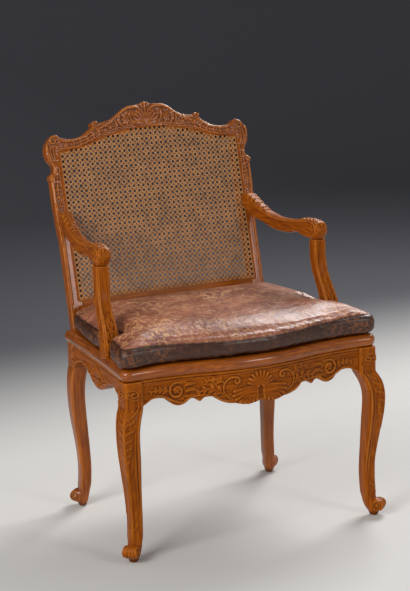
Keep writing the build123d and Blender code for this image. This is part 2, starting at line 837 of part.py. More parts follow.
with BuildPart() as arm:
    add(arm_blank.part)
    tenon(arm_joint, *arm_tenon)
    with Locations(arm_bore):
        Cylinder(
            support_tenon_radius + mortise_clearance,
            arm_bore_length + mortise_end_gap,
            align=(Align.CENTER, Align.CENTER, Align.MIN),
            mode=Mode.SUBTRACT,
        )
    peg_holes(arm_root_pegs)
    peg_holes(arm_end_pegs)
save_pair(arm.part, "arm")


# Pegs, cut flush where the face that they are driven into is curved
def save_pegs(name, pegs, host=None):
    """Writes the pegs of one kind of joint, trimmed to the host where its face is curved."""
    for place, (plane, length) in pegs.items():
        with BuildPart() as peg:
            if host is not None:
                add(host)
            with Locations(plane):
                Cylinder(
                    peg_radius,
                    length,
                    align=(Align.CENTER, Align.CENTER, Align.MIN),
                    mode=Mode.ADD if host is None else Mode.INTERSECT,
                )
        save_pair(peg.part, f"{name}_{place}")


save_pegs("peg_front_rail", front_rail_pegs)
save_pegs("peg_side_rail_front", side_front_pegs)
save_pegs("peg_side_rail_rear", side_rear_pegs)
save_pegs("peg_rear_rail", rear_rail_pegs)
save_pegs("peg", back_pegs)
save_pegs("peg", seat_frame_pegs)
save_pegs("peg", arm_root_pegs, rear_leg_blank.part)
save_pegs("peg", arm_end_pegs, arm_blank.part)


def net(outline, low, width, top):
    """Cane panel as one face: square gaps in a border, in columns that stop below the top.

    The gaps stand on the low line, inside a width, and top gives their limit across the panel.
    """
    half = (cane_pitch - cane_strand) / 2
    columns = int(width / cane_pitch)
    gaps = []
    for column in range(columns):
        x = (column - (columns - 1) / 2) * cane_pitch
        rows = int((min(top(x - half), top(x + half)) - low) / cane_pitch)
        for row in range(rows):
            y = low + (row + 0.5) * cane_pitch
            corners = [(-half, -half), (half, -half), (half, half), (-half, half)]
            gaps.append(Wire.make_polygon([Vector(x + a, y + b) for a, b in corners]))
    return Face(outline.face().outer_wire(), gaps)


def back_opening_top(x):
    """Upper edge of the back's opening over a place across it, on the round middle and beside it."""
    drop = up(overall_height - back_cane_top_drop) - up(overall_height - back_cane_shoulder_drop)
    radius = (back_cane_shoulder_x**2 + drop**2) / (2 * drop)
    if abs(x) > back_cane_shoulder_x:
        return up(overall_height - back_cane_side_drop) - cane_border
    return up(overall_height - back_cane_top_drop) - cane_border - radius + sqrt(radius**2 - x**2)


def seat_opening_end(x):
    """Rear edge of the seat's opening across it, or the slanted side where that comes first."""
    if abs(x) < opening_rear_x:
        return opening_rear_y
    side_share = (opening_front_x - abs(x)) / (opening_front_x - opening_rear_x)
    return opening_front_y + side_share * (opening_rear_y - opening_front_y)


# Cane panel of the back
with BuildPart() as back_cane:
    with BuildSketch(back_plane):
        add(net(back_cane_outline.sketch, up(lower_rail_top), 2 * stile_inner_x, back_opening_top))
    extrude(amount=-cane_thickness)
save(back_cane.part, "back_cane")

# Cane panel of the seat, below the squab
with BuildPart() as seat_cane:
    with BuildSketch(Plane.XY.offset(seat_height)):
        add(net(seat_cane_outline.sketch, opening_front_y, 2 * opening_front_x, seat_opening_end))
    extrude(amount=-cane_thickness)
save(seat_cane.part, "seat_cane")

# Leather squab: boxed sides that belly out, a crowned top, notches round the arm supports
squab_middle_y = (front_y + back_y) / 2
squab_bottom = seat_height + squab_gap
squab_notch_x = support_top_x - support_top_size / 2 - squab_notch_clearance / 2
squab_notch_front = support_base_y - support_base_size / 2 - squab_notch_clearance
squab_notch_rear = support_base_y + support_base_size / 2 + squab_notch_lift_room


def squab_face(height, inset, spread, notch):
    """Outline of the squab at one height.

    It is drawn in by an inset, shrunk about its middle by a spread, with a share of the notch's depth.
    The wall of the notch grows thicker where the notch fades into the crown.
    """
    front = front_y + squab_edge_inset + inset
    corner_x = seat_front_width / 2 - squab_edge_inset - inset
    corner_y = front_y + front_corner_setback + squab_edge_inset + inset
    rear_x = seat_rear_width / 2 - squab_edge_inset - inset
    rear_y = back_y - squab_back_gap - inset
    radius = squab_corner_radius

    def side_x(y):
        return corner_x + (rear_x - corner_x) * (y - corner_y) / (rear_y - corner_y)

    def place(x, y):
        return (x * spread, squab_middle_y + (y - squab_middle_y) * spread)

    notch_wall = inset * (1 + squab_notch_fade * (1 - notch))
    notch_front = squab_notch_front - notch_wall
    notch_rear = squab_notch_rear + notch_wall
    notch_depth = notch * (side_x(notch_front) - squab_notch_x + inset)
    bow_end = place(front_bow_half_width, front + front_bow_depth)
    round_front = radius * (1 - diagonal)
    with BuildSketch(Plane.XY.offset(height)) as face:
        with BuildLine():
            bow = TangentArc(place(0, front), bow_end, tangent=(1, 0))
            TangentArc(bow @ 1, place(corner_x - radius, corner_y), tangent=bow % 1)
            ThreePointArc(
                place(corner_x - radius, corner_y),
                place(corner_x - round_front, corner_y + round_front),
                place(side_x(corner_y + radius), corner_y + radius),
            )
            Polyline(
                place(side_x(corner_y + radius), corner_y + radius),
                place(side_x(notch_front), notch_front),
                place(side_x(notch_front) - notch_depth, notch_front),
                place(side_x(notch_front) - notch_depth, notch_rear),
                place(side_x(notch_rear), notch_rear),
                place(side_x(rear_y - radius), rear_y - radius),
            )
            ThreePointArc(
                place(side_x(rear_y - radius), rear_y - radius),
                place(rear_x - round_front, rear_y - round_front),
                place(rear_x - radius, rear_y),
            )
            Line(place(rear_x - radius, rear_y), place(0, rear_y))
            mirror(about=Plane.YZ)
        make_face()
    return face.sketch


def squab_solid(wall):
    """The squab's form, drawn in by a wall all round."""
    low = squab_bottom + wall
    seam = squab_bottom + squab_boxing_height
    with BuildPart() as form:
        sections = [
            squab_face(low, wall + squab_belly, 1, 1),
            squab_face(squab_bottom + squab_boxing_height / 4, wall + squab_belly / 4, 1, 1),
            squab_face(squab_bottom + squab_boxing_height / 2, wall, 1, 1),
            squab_face(seam - squab_boxing_height / 4, wall + squab_belly / 4, 1, 1),
            squab_face(seam, wall + squab_belly, 1, 1),
        ]
        for rise, spread, notch in squab_crown_steps:
            height = seam + rise * squab_crown_height - wall
            sections.append(squab_face(height, wall + squab_belly, spread, notch))
        loft(sections, ruled=True)
    return form.part


with BuildPart() as squab_cover:
    add(squab_solid(0))
    add(squab_solid(leather_thickness), mode=Mode.SUBTRACT)
save(squab_cover.part, "squab_cover")

with BuildPart() as squab_filling:
    add(squab_solid(leather_thickness + filling_gap))
save(squab_filling.part, "squab_filling")
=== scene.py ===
"""Looks of a carved cane armchair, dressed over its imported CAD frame.

Sizes are in millimetres and become metres where a mesh is made.
X runs to the viewer's right, Y to the back and Z up, as in the CAD.
"""

import json
import logging
import math
from collections.abc import Callable
from dataclasses import dataclass, field, replace
from enum import Enum

import bmesh
import bpy
import numpy as np
from mathutils import Matrix, Vector

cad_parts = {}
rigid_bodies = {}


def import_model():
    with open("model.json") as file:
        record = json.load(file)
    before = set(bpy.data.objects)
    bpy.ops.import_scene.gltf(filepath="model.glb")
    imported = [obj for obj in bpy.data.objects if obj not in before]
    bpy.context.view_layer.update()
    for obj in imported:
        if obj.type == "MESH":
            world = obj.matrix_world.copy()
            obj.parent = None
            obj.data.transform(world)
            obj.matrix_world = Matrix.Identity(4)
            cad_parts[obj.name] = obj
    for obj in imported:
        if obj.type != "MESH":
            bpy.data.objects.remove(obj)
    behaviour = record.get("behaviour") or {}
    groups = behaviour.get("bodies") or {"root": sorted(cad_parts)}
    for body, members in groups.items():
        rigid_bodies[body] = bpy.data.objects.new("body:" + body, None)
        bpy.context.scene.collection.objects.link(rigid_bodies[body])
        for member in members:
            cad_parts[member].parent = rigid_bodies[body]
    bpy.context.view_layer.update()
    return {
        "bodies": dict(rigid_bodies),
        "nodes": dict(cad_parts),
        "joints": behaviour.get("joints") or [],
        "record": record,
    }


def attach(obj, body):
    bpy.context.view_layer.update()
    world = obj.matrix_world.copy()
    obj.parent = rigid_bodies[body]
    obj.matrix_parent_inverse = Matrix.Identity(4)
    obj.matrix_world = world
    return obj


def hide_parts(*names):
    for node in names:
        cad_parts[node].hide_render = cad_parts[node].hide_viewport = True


LOG = logging.getLogger("armchair")
MM = 0.001
FRAME_BODY = "frame"
SQUAB_BODY = "squab"
SEAT_TOP = 441.0
OLD_WAX = 0.06
BACK_POLISH = 0.7
SEAT_POLISH = 0.9

Point = tuple[float, float]
Socket = bpy.types.NodeSocket


class Grain(Enum):
    """Way in which the grain of a wooden piece runs."""

    ACROSS = 0
    DEEP = 1
    UPRIGHT = 2


class Profile(Enum):
    """Section of a carved stroke."""

    ROUND = "round"
    LEAF = "leaf"
    GROOVE = "groove"


class Side(Enum):
    """Side of the chair, seen from the front, as the sign of its X."""

    LEFT = -1
    RIGHT = 1

    def node(self, piece: str) -> str:
        """Name of the node of a piece on this side."""
        return f"{piece}_{self.name.lower()}"


def linear(code: str) -> tuple[float, float, float, float]:
    """Turns an sRGB hex colour to linear RGBA.

    Args:
        code: Colour such as "#a05a2c".

    Returns:
        Linear red, green, blue and an alpha of 1.
    """
    shares = [int(code[start : start + 2], 16) / 255 for start in (1, 3, 5)]
    rgb = [c / 12.92 if c <= 0.04045 else ((c + 0.055) / 1.055) ** 2.4 for c in shares]
    return (*rgb, 1.0)


def add_node(
    tree: bpy.types.NodeTree,
    kind: str,
    settings: dict | None = None,
    values: dict | None = None,
    links: dict | None = None,
) -> bpy.types.Node:
    """Adds a node with its settings, socket values and links.

    Args:
        tree: Node tree of the material or world.
        kind: Type name of the node.
        settings: Attributes of the node.
        values: Constant values by input socket.
        links: Output sockets by input socket.

    Returns:
        The new node.
    """
    node = tree.nodes.new(kind)
    for name, value in (settings or {}).items():
        setattr(node, name, value)
    for socket, value in (values or {}).items():
        node.inputs[socket].default_value = value
    for socket, source in (links or {}).items():
        tree.links.new(source, node.inputs[socket])
    return node


def per_metre(size: float) -> float:
    """Texture scale for a feature of a size in millimetres."""
    return 1 / (size * MM)


@dataclass
class Shading:
    """New material, to which its finish adds nodes.

    Attributes:
        name: Name of the material.
        material: The material.
        tree: Its node tree.
        where: Places on the piece.
    """

    name: str
    material: bpy.types.Material = field(init=False)
    tree: bpy.types.NodeTree = field(init=False)
    where: Socket = field(init=False)

    def __post_init__(self) -> None:
        """Makes the material with its shader."""
        self.material = bpy.data.materials.new(self.name)
        self.material.use_nodes = True
        self.tree = self.material.node_tree
        self.where = add_node(self.tree, "ShaderNodeTexCoord").outputs["Object"]

    def finish(self, values: dict, links: dict) -> bpy.types.Material:
        """Sets up the shader.

        Args:
            values: Constant values by input socket.
            links: Output sockets by input socket.

        Returns:
            The finished material.
        """
        shader = self.tree.nodes["Principled BSDF"]
        for socket, value in values.items():
            shader.inputs[socket].default_value = value
        for socket, source in links.items():
            self.tree.links.new(source, shader.inputs[socket])
        return self.material


@dataclass(frozen=True)
class Coat:
    """Colour that lies over another one where a value is high.

    Attributes:
        value: The value.
        colour: The colour, as a code or the output of a node.
        start: Value at which the coat begins.
        end: Value at which it is full.
        most: Its share there.
    """

    value: Socket
    colour: Socket | str
    start: float = 0.0
    end: float = 1.0
    most: float = 1.0


def coated(tree: bpy.types.NodeTree, base: str, coats: list[Coat]) -> Socket:
    """Lays coats of colour over a plain one.

    Args:
        tree: Node tree of the material.
        base: Colour below the coats.
        coats: The coats, from the lowest one up.

    Returns:
        The colour that is seen.
    """
    seen = add_node(tree, "ShaderNodeRGB").outputs["Color"]
    seen.default_value = linear(base)
    for coat in coats:
        ends = {"From Min": coat.start, "From Max": coat.end, "To Max": coat.most}
        share = add_node(tree, "ShaderNodeMapRange", {}, ends, {"Value": coat.value})
        values = {}
        links = {0: share.outputs["Result"], 6: seen}
        if isinstance(coat.colour, str):
            values[7] = linear(coat.colour)
        else:
            links[7] = coat.colour
        seen = add_node(tree, "ShaderNodeMix", {"data_type": "RGBA"}, values, links).outputs[2]
    return seen


@dataclass(frozen=True)
class WaxedWalnut:
    """Old waxed walnut, hand carved: long streaks, dark wax and painted shade in the recesses, edges worn by
    hands and lightened as a painted highlight.

    Attributes:
        grain: Way in which the grain runs.
        light: Colour of the pale streaks.
        dark: Colour of the dark streaks.
        recess: Colour of wax and dust in the carving, which also paints the shade in its recesses and the
            darkening towards the floor.
        rubbed: Colour of edges that hands have polished, lightened further as a painted highlight.
        streak: Width of a streak.
        stretch: Share of a streak's scale that is left along the grain.
        pore: Width of a pore, drawn coarser than the real one so that it shows.
        patch: Size of the broad patches of tone.
        polish: Weight of the polish.
        tint: Colour that the old wax gives its gloss.
    """

    grain: Grain
    light: str = "#a8580e"
    dark: str = "#743306"
    recess: str = "#2a1206"
    rubbed: str = "#bc7026"
    streak: float = 5.0
    stretch: float = 0.06
    pore: float = 1.4
    patch: float = 70.0
    polish: float = OLD_WAX
    tint: str = "#f0a860"

    def material(self) -> bpy.types.Material:
        """Makes the material, or finds the one made before.

        Returns:
            The material.
        """
        name = f"waxed_walnut_{self.grain.name.lower()}_{self.polish:.2f}"
        if name in bpy.data.materials:
            return bpy.data.materials[name]
        look = Shading(name)
        scale = [1.0, 1.0, 1.0]
        scale[self.grain.value] = self.stretch
        links = {"Vector": look.where}
        drawn = add_node(look.tree, "ShaderNodeMapping", {}, {"Scale": scale}, links).outputs["Vector"]
        noises = []
        for size, detail, bend, where in (
            (self.streak, 4.0, 0.4, drawn),
            (self.pore, 2.0, 0.0, drawn),
            (self.patch, 2.0, 0.0, look.where),
        ):
            values = {"Scale": per_metre(size), "Detail": detail, "Distortion": bend}
            noise = add_node(look.tree, "ShaderNodeTexNoise", {}, values, {"Vector": where})
            noises.append(noise.outputs["Fac"])
        streaks, pores, patches = noises
        hollow = add_node(look.tree, "ShaderNodeAttribute", {"attribute_name": "hollow"}).outputs["Fac"]
        coats = [
            Coat(streaks, self.light, 0.32, 0.68),
            Coat(patches, self.dark, 0.42, 0.7, 0.45),
            # Dark wax in the recesses, also painting their shade, and the darkening towards the floor
            Coat(hollow, self.recess, 0.06, 0.75, 0.9),
            # Edges worn by hands, also painted lighter as a highlight
            Coat(hollow, self.rubbed, -0.15, -0.9, 0.5),
        ]
        ends = {"From Min": 0.3, "From Max": 0.7, "To Min": 0.34, "To Max": 0.5}
        rough = add_node(look.tree, "ShaderNodeMapRange", {}, ends, {"Value": streaks})
        depth = {"Strength": 0.14, "Distance": MM}
        dents = add_node(look.tree, "ShaderNodeBump", {}, depth, {"Height": pores})
        gloss = {
            "IOR": 1.5,
            "Specular IOR Level": 0.24,
            "Specular Tint": linear(self.tint),
            "Coat Weight": self.polish,
            "Coat Roughness": 0.2,
        }
        links = {
            "Base Color": coated(look.tree, self.dark, coats),
            "Roughness": rough.outputs["Result"],
            "Normal": dents.outputs["Normal"],
        }
        return look.finish(gloss, links)


@dataclass(frozen=True)
class SplitCane:
    """Split rattan cane, aged: glossy skin, tan to brown from strand to strand.

    Attributes:
        pale: Colour of clean cane.
        brown: Colour of old, soiled cane.
        rubbed: Colour of the slants, which lie on top, as a painted highlight.
        patch: Size of the patches of tone.
        fibre: Width of the fibres along a strand.
    """

    pale: str = "#b97c42"
    brown: str = "#7f5029"
    rubbed: str = "#d29a5e"
    patch: float = 28.0
    fibre: float = 2.0

    def material(self) -> bpy.types.Material:
        """Makes the material, or finds the one made before.

        Returns:
            The material.
        """
        name = "split_cane"
        if name in bpy.data.materials:
            return bpy.data.materials[name]
        look = Shading(name)
        noises = []
        for size, detail in ((self.patch, 3.0), (self.fibre, 1.0)):
            values = {"Scale": per_metre(size), "Detail": detail}
            noise = add_node(look.tree, "ShaderNodeTexNoise", {}, values, {"Vector": look.where})
            noises.append(noise.outputs["Fac"])
        patches, fibres = noises
        slant = add_node(look.tree, "ShaderNodeAttribute", {"attribute_name": "slant"}).outputs["Fac"]
        # Slants painted lighter as a highlight
        coats = [Coat(patches, self.pale, 0.3, 0.7), Coat(slant, self.rubbed, most=0.75)]
        ends = {"To Min": 0.35, "To Max": 0.6}
        rough = add_node(look.tree, "ShaderNodeMapRange", {}, ends, {"Value": fibres})
        depth = {"Strength": 0.2, "Distance": 0.6 * MM}
        dents = add_node(look.tree, "ShaderNodeBump", {}, depth, {"Height": fibres})
        links = {
            "Base Color": coated(look.tree, self.brown, coats),
            "Roughness": rough.outputs["Result"],
            "Normal": dents.outputs["Normal"],
        }
        return look.finish({}, links)


@dataclass(frozen=True)
class CrackedLeather:
    """Old polished cowhide: a reddish top, lightened by painted light from above, with a fine pale net of
    cracks, dark boxing and seams.

    The piece's own attributes say where it is boxing, where it is worn and where its seams run.

    Attributes:
        hide: Colour of the top, made lighter by painted light from above.
        deep: Colour of its darker patches, also made lighter by painted light from above.
        boxing: Colour of the sides.
        crack: Colour of the bare hide in the cracks of the top.
        side_crack: Colour of the cracks in the boxing.
        seam: Colour of the thread and dirt in a seam.
        cell: Size of a plate between large cracks.
        fine_cell: Size of a plate between fine cracks.
        patch: Size of the patches of wear.
        cloud: Size of the patches of tone.
        sway: Size of the bends in the cracks.
        stray: How far the bends lead a crack aside.
        gap: Size of the breaks in the cracks.
        crumple: Size of the shallow dents.
        pore: Size of the grain, drawn coarser than the real one so that it shows.
    """

    hide: str = "#985a44"
    deep: str = "#713d2c"
    boxing: str = "#3b1f13"
    crack: str = "#dca46a"
    side_crack: str = "#9c5c2c"
    seam: str = "#1c0e09"
    cell: float = 13.0
    fine_cell: float = 6.5
    patch: float = 42.0
    cloud: float = 71.4
    sway: float = 8.0
    stray: float = 7.0
    gap: float = 11.0
    crumple: float = 17.0
    pore: float = 2.4

    def cracks(self, look: Shading) -> Socket:
        """Adds the net of cracks.

        Args:
            look: The new material.

        Returns:
            How much of a crack there is.
        """
        noises = []
        for size, detail in ((self.sway, 2.0), (self.gap, 1.0)):
            values = {"Scale": per_metre(size), "Detail": detail}
            noises.append(add_node(look.tree, "ShaderNodeTexNoise", {}, values, {"Vector": look.where}))
        bends, breaks = noises
        swayed = add_node(
            look.tree,
            "ShaderNodeVectorMath",
            {"operation": "MULTIPLY_ADD"},
            {1: (self.stray * MM,) * 3},
            {0: bends.outputs["Color"], 2: look.where},
        )
        splits = {}
        for order, (size, start, end, most) in enumerate(
            ((self.cell, 0.095, 0.035, 1.0), (self.fine_cell, 0.12, 0.04, 0.75))
        ):
            plates = add_node(
                look.tree,
                "ShaderNodeTexVoronoi",
                {"feature": "DISTANCE_TO_EDGE"},
                {"Scale": per_metre(size)},
                {"Vector": swayed.outputs["Vector"]},
            )
            ends = {"From Min": start, "From Max": end, "To Max": most}
            split = add_node(look.tree, "ShaderNodeMapRange", {}, ends, {"Value": plates.outputs["Distance"]})
            splits[order] = split.outputs["Result"]
        net = add_node(look.tree, "ShaderNodeMath", {"operation": "MAXIMUM"}, {}, splits)
        ends = {"From Min": 0.45, "From Max": 0.53}
        unbroken = add_node(look.tree, "ShaderNodeMapRange", {}, ends, {"Value": breaks.outputs["Fac"]})
        links = {0: net.outputs["Value"], 1: unbroken.outputs["Result"]}
        return add_node(look.tree, "ShaderNodeMath", {"operation": "MULTIPLY"}, {}, links).outputs["Value"]

    def material(self) -> bpy.types.Material:
        """Makes the material.

        Returns:
            The material.
        """
        look = Shading("cracked_leather")
        noises = []
        for size, detail in ((self.patch, 4.0), (self.cloud, 5.0), (self.pore, 2.0), (self.crumple, 1.5)):
            values = {"Scale": per_metre(size), "Detail": detail}
            noise = add_node(look.tree, "ShaderNodeTexNoise", {}, values, {"Vector": look.where})
            noises.append(noise.outputs["Fac"])
        patches, clouds, pores, crumples = noises
        kept = []
        for name in ("worn", "boxing", "seam"):
            kept.append(add_node(look.tree, "ShaderNodeAttribute", {"attribute_name": name}).outputs["Fac"])
        worn, side, sewn = kept
        ends = {"From Min": 0.38, "From Max": 0.58, "To Min": 0.35}
        share = add_node(look.tree, "ShaderNodeMapRange", {}, ends, {"Value": patches})
        links = {0: worn, 1: share.outputs["Result"]}
        wear = add_node(look.tree, "ShaderNodeMath", {"operation": "MULTIPLY"}, {}, links).outputs["Value"]
        links = {0: self.cracks(look), 1: wear}
        bare = add_node(look.tree, "ShaderNodeMath", {"operation": "MULTIPLY"}, {}, links).outputs["Value"]
        coats = [
            # The top's colours carry painted light from above
            Coat(clouds, self.hide, 0.36, 0.62),
            Coat(side, self.boxing),
            Coat(bare, coated(look.tree, self.crack, [Coat(side, self.side_crack)])),
            Coat(sewn, self.seam),
        ]
        rough = add_node(look.tree, "ShaderNodeMapRange", {}, {"To Min": 0.3, "To Max": 0.52}, {"Value": wear})
        links = {}
        for height, strength, depth, sunk in (
            (pores, 0.2, 1.0, False),
            (crumples, 0.5, 3.0, False),
            (bare, 0.4, 1.0, True),
        ):
            links["Height"] = height
            values = {"Strength": strength, "Distance": depth * MM}
            dents = add_node(look.tree, "ShaderNodeBump", {"invert": sunk}, values, links)
            links["Normal"] = dents.outputs["Normal"]
        gloss = {"Specular IOR Level": 0.4, "Coat Weight": 0.07, "Coat Roughness": 0.3}
        links = {
            "Base Color": coated(look.tree, self.deep, coats),
            "Roughness": rough.outputs["Result"],
            "Normal": links["Normal"],
        }
        return look.finish(gloss, links)


@dataclass(frozen=True)
class StudioPaper:
    """Matt studio paper: pale under the chair, darkening where it sweeps up behind as painted shade.

    Attributes:
        pale: Colour of the floor.
        grey: Colour of the backdrop, darkened as painted shade.
        start: Depth at which the painted shade begins.
        end: Depth at which it is full.
    """

    pale: str = "#d6d4d0"
    grey: str = "#57575c"
    start: float = 500.0
    end: float = 1900.0

    def material(self) -> bpy.types.Material:
        """Makes the material.

        Returns:
            The material.
        """
        look = Shading("studio_paper")
        axes = add_node(look.tree, "ShaderNodeSeparateXYZ", links={"Vector": look.where})
        soft = {"interpolation_type": "SMOOTHSTEP"}
        ends = {"From Min": self.start * MM, "From Max": self.end * MM}
        share = add_node(look.tree, "ShaderNodeMapRange", soft, ends, {"Value": axes.outputs["Y"]})
        # Painted shade darkens the backdrop behind the chair
        colour = coated(look.tree, self.pale, [Coat(share.outputs["Result"], self.grey)])
        return look.finish({"Roughness": 0.85, "Specular IOR Level": 0.2}, {"Base Color": colour})


@dataclass(frozen=True)
class PlainFinish:
    """A finish with soft mottling, for the painted shade in holes.

    Attributes:
        name: Name of the material.
        low: Darker colour.
        high: Paler colour.
        rough: Roughness.
        mottle: Size of the mottling.
    """

    name: str
    low: str
    high: str
    rough: float
    mottle: float

    def material(self) -> bpy.types.Material:
        """Makes the material.

        Returns:
            The material.
        """
        look = Shading(self.name)
        values = {"Scale": per_metre(self.mottle), "Detail": 2.0}
        noise = add_node(look.tree, "ShaderNodeTexNoise", {}, values, {"Vector": look.where})
        colour = coated(look.tree, self.low, [Coat(noise.outputs["Fac"], self.high)])
        return look.finish({"Roughness": self.rough}, {"Base Color": colour})


def add_object(name: str, mesh: bpy.types.Mesh, material: bpy.types.Material) -> bpy.types.Object:
    """Puts a mesh in the scene, smooth and with one material.

    Args:
        name: Name of the piece.
        mesh: Its mesh, in place.
        material: Its finish.

    Returns:
        The new object.
    """
    mesh.name = name
    mesh.materials.clear()
    mesh.materials.append(material)
    mesh.shade_smooth()
    piece = bpy.data.objects.new(name, mesh)
    bpy.context.scene.collection.objects.link(piece)
    return piece


def dress(piece: bpy.types.Object, body: str) -> None:
    """Lets a piece ride on a body, and logs how many faces it has.

    Args:
        piece: The piece.
        body: Name of the body that it rides on.
    """
    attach(piece, body)
    LOG.info("%s: %d faces", piece.name, len(piece.data.polygons))


def read_points(mesh: bpy.types.Mesh) -> np.ndarray:
    """Places of a mesh's vertices in millimetres.

    Args:
        mesh: The mesh.

    Returns:
        One row per vertex.
    """
    flat = np.empty(len(mesh.vertices) * 3, np.float32)
    mesh.vertices.foreach_get("co", flat)
    return flat.reshape(-1, 3).astype(float) / MM


def write_points(mesh: bpy.types.Mesh, points: np.ndarray) -> None:
    """Moves a mesh's vertices to places in millimetres."""
    mesh.vertices.foreach_set("co", (points * MM).astype(np.float32).ravel())
    mesh.update()


def read_normals(mesh: bpy.types.Mesh) -> np.ndarray:
    """Normals of a mesh's vertices.

    Args:
        mesh: The mesh.

    Returns:
        One row per vertex.
    """
    flat = np.empty(len(mesh.vertices) * 3, np.float32)
    mesh.vertex_normals.foreach_get("vector", flat)
    return flat.reshape(-1, 3).astype(float)


def store(mesh: bpy.types.Mesh, name: str, values: np.ndarray) -> None:
    """Keeps one number per vertex as an attribute of the mesh."""
    if name not in mesh.attributes:
        mesh.attributes.new(name, "FLOAT", "POINT")
    mesh.attributes[name].data.foreach_set("value", values.astype(np.float32))


def bell(values: np.ndarray, middle: float, width: float) -> np.ndarray:
    """Share that is 1 at a middle and fades out over a width on both sides."""
    return np.exp(-(((values - middle) / width) ** 2))


def rise(values: np.ndarray, start: float | np.ndarray, end: float | np.ndarray) -> np.ndarray:
    """Share that grows from 0 at a start to 1 at an end."""
    return np.clip((values - start) / (end - start), 0, 1)


def mesh_of(shape: bmesh.types.BMesh, name: str) -> bpy.types.Mesh:
    """Turns a shape to a mesh and frees the shape.

    Args:
        shape: The shape.
        name: Name of the mesh.

    Returns:
        The mesh.
    """
    mesh = bpy.data.meshes.new(name)
    shape.to_mesh(mesh)
    shape.free()
    return mesh


def add_holder(data: bpy.types.Mesh | bpy.types.Curve) -> bpy.types.Object:
    """Puts a shape in the scene for a while, so that it can be evaluated.

    Args:
        data: The shape.

    Returns:
        The object that holds it.
    """
    holder = bpy.data.objects.new("holder", data)
    bpy.context.scene.collection.objects.link(holder)
    return holder


def take_mesh(holder: bpy.types.Object) -> bpy.types.Mesh:
    """Takes the mesh that a holder's modifiers leave, and removes the holder.

    Args:
        holder: The holder.

    Returns:
        The mesh.
    """
    seen = holder.evaluated_get(bpy.context.evaluated_depsgraph_get())
    mesh = bpy.data.meshes.new_from_object(seen)
    bpy.data.objects.remove(holder)
    return mesh


def smoothed(mesh: bpy.types.Mesh, points: np.ndarray, rounds: int) -> np.ndarray:
    """Points drawn towards the mean of their neighbours.

    Args:
        mesh: Mesh that says which points are neighbours.
        points: Places of its vertices.
        rounds: How often they are drawn together.

    Returns:
        The new places.
    """
    pairs = np.empty(len(mesh.edges) * 2, np.int32)
    mesh.edges.foreach_get("vertices", pairs)
    one, two = pairs.reshape(-1, 2).T
    count = np.bincount(np.concatenate((one, two)), minlength=len(points))
    moved = points.copy()
    for _ in range(rounds):
        total = np.empty_like(moved)
        for axis in range(3):
            total[:, axis] = np.bincount(one, moved[two, axis], len(points))
            total[:, axis] += np.bincount(two, moved[one, axis], len(points))
        moved = 0.5 * moved + 0.5 * total / np.maximum(count, 1)[:, None]
    return moved


def remeshed_copy(node: str, voxel: float, rounds: int) -> bpy.types.Mesh:
    """Even, softly rounded mesh of a CAD node.

    Args:
        node: Name of the node.
        voxel: Size of the new faces.
        rounds: Rounds of smoothing.

    Returns:
        The new mesh, in the node's place.
    """
    source = bpy.data.objects[node].data
    shape = bmesh.new()
    shape.from_mesh(source)
    bmesh.ops.remove_doubles(shape, verts=shape.verts, dist=0.01 * MM)
    merged = mesh_of(shape, f"{node}_merged")
    holder = add_holder(merged)
    remesh = holder.modifiers.new("even", "REMESH")
    remesh.mode = "VOXEL"
    remesh.voxel_size = voxel * MM
    remesh.adaptivity = 0.0
    mesh = take_mesh(holder)
    bpy.data.meshes.remove(merged)
    write_points(mesh, smoothed(mesh, read_points(mesh), rounds))
    return mesh


def spline(points: list[Point], steps: int = 6) -> np.ndarray:
    """Smooth line through a few points of a face.

    Args:
        points: Places that the line passes through.
        steps: Steps from one place to the next.

    Returns:
        Points along the line.
    """
    given = np.array(points, float)
    if len(given) == 2:
        return given
    padded = np.vstack((2 * given[0] - given[1], given, 2 * given[-1] - given[-2]))
    line = []
    for index in range(1, len(padded) - 2):
        p0, p1, p2, p3 = padded[index - 1 : index + 3]
        for t in np.arange(steps) / steps:
            bend = 2 * p0 - 5 * p1 + 4 * p2 - p3
            turn = 3 * p1 - p0 - 3 * p2 + p3
            line.append(0.5 * (2 * p1 + (p2 - p0) * t + bend * t**2 + turn * t**3))
    line.append(given[-1])
    return np.array(line)


def volute(centre: Point, radius: float, start: float, turns: float, shrink: float = 0.25) -> list[Point]:
    """Spiral that winds in to the eye of a scroll.

    Args:
        centre: The eye.
        radius: Radius where the spiral starts.
        start: Angle of the start in degrees, from the first axis towards the second.
        turns: Turns, negative for clockwise.
        shrink: Share of the radius that is left at the eye.

    Returns:
        Points from the outside to the eye.
    """
    count = max(6, int(abs(turns) * 12))
    points = []
    for index in range(count + 1):
        share = index / count
        angle = math.radians(start) + 2 * math.pi * turns * share
        reach = radius * (1 - (1 - shrink) * share)
        points.append((centre[0] + reach * math.cos(angle), centre[1] + reach * math.sin(angle)))
    return points


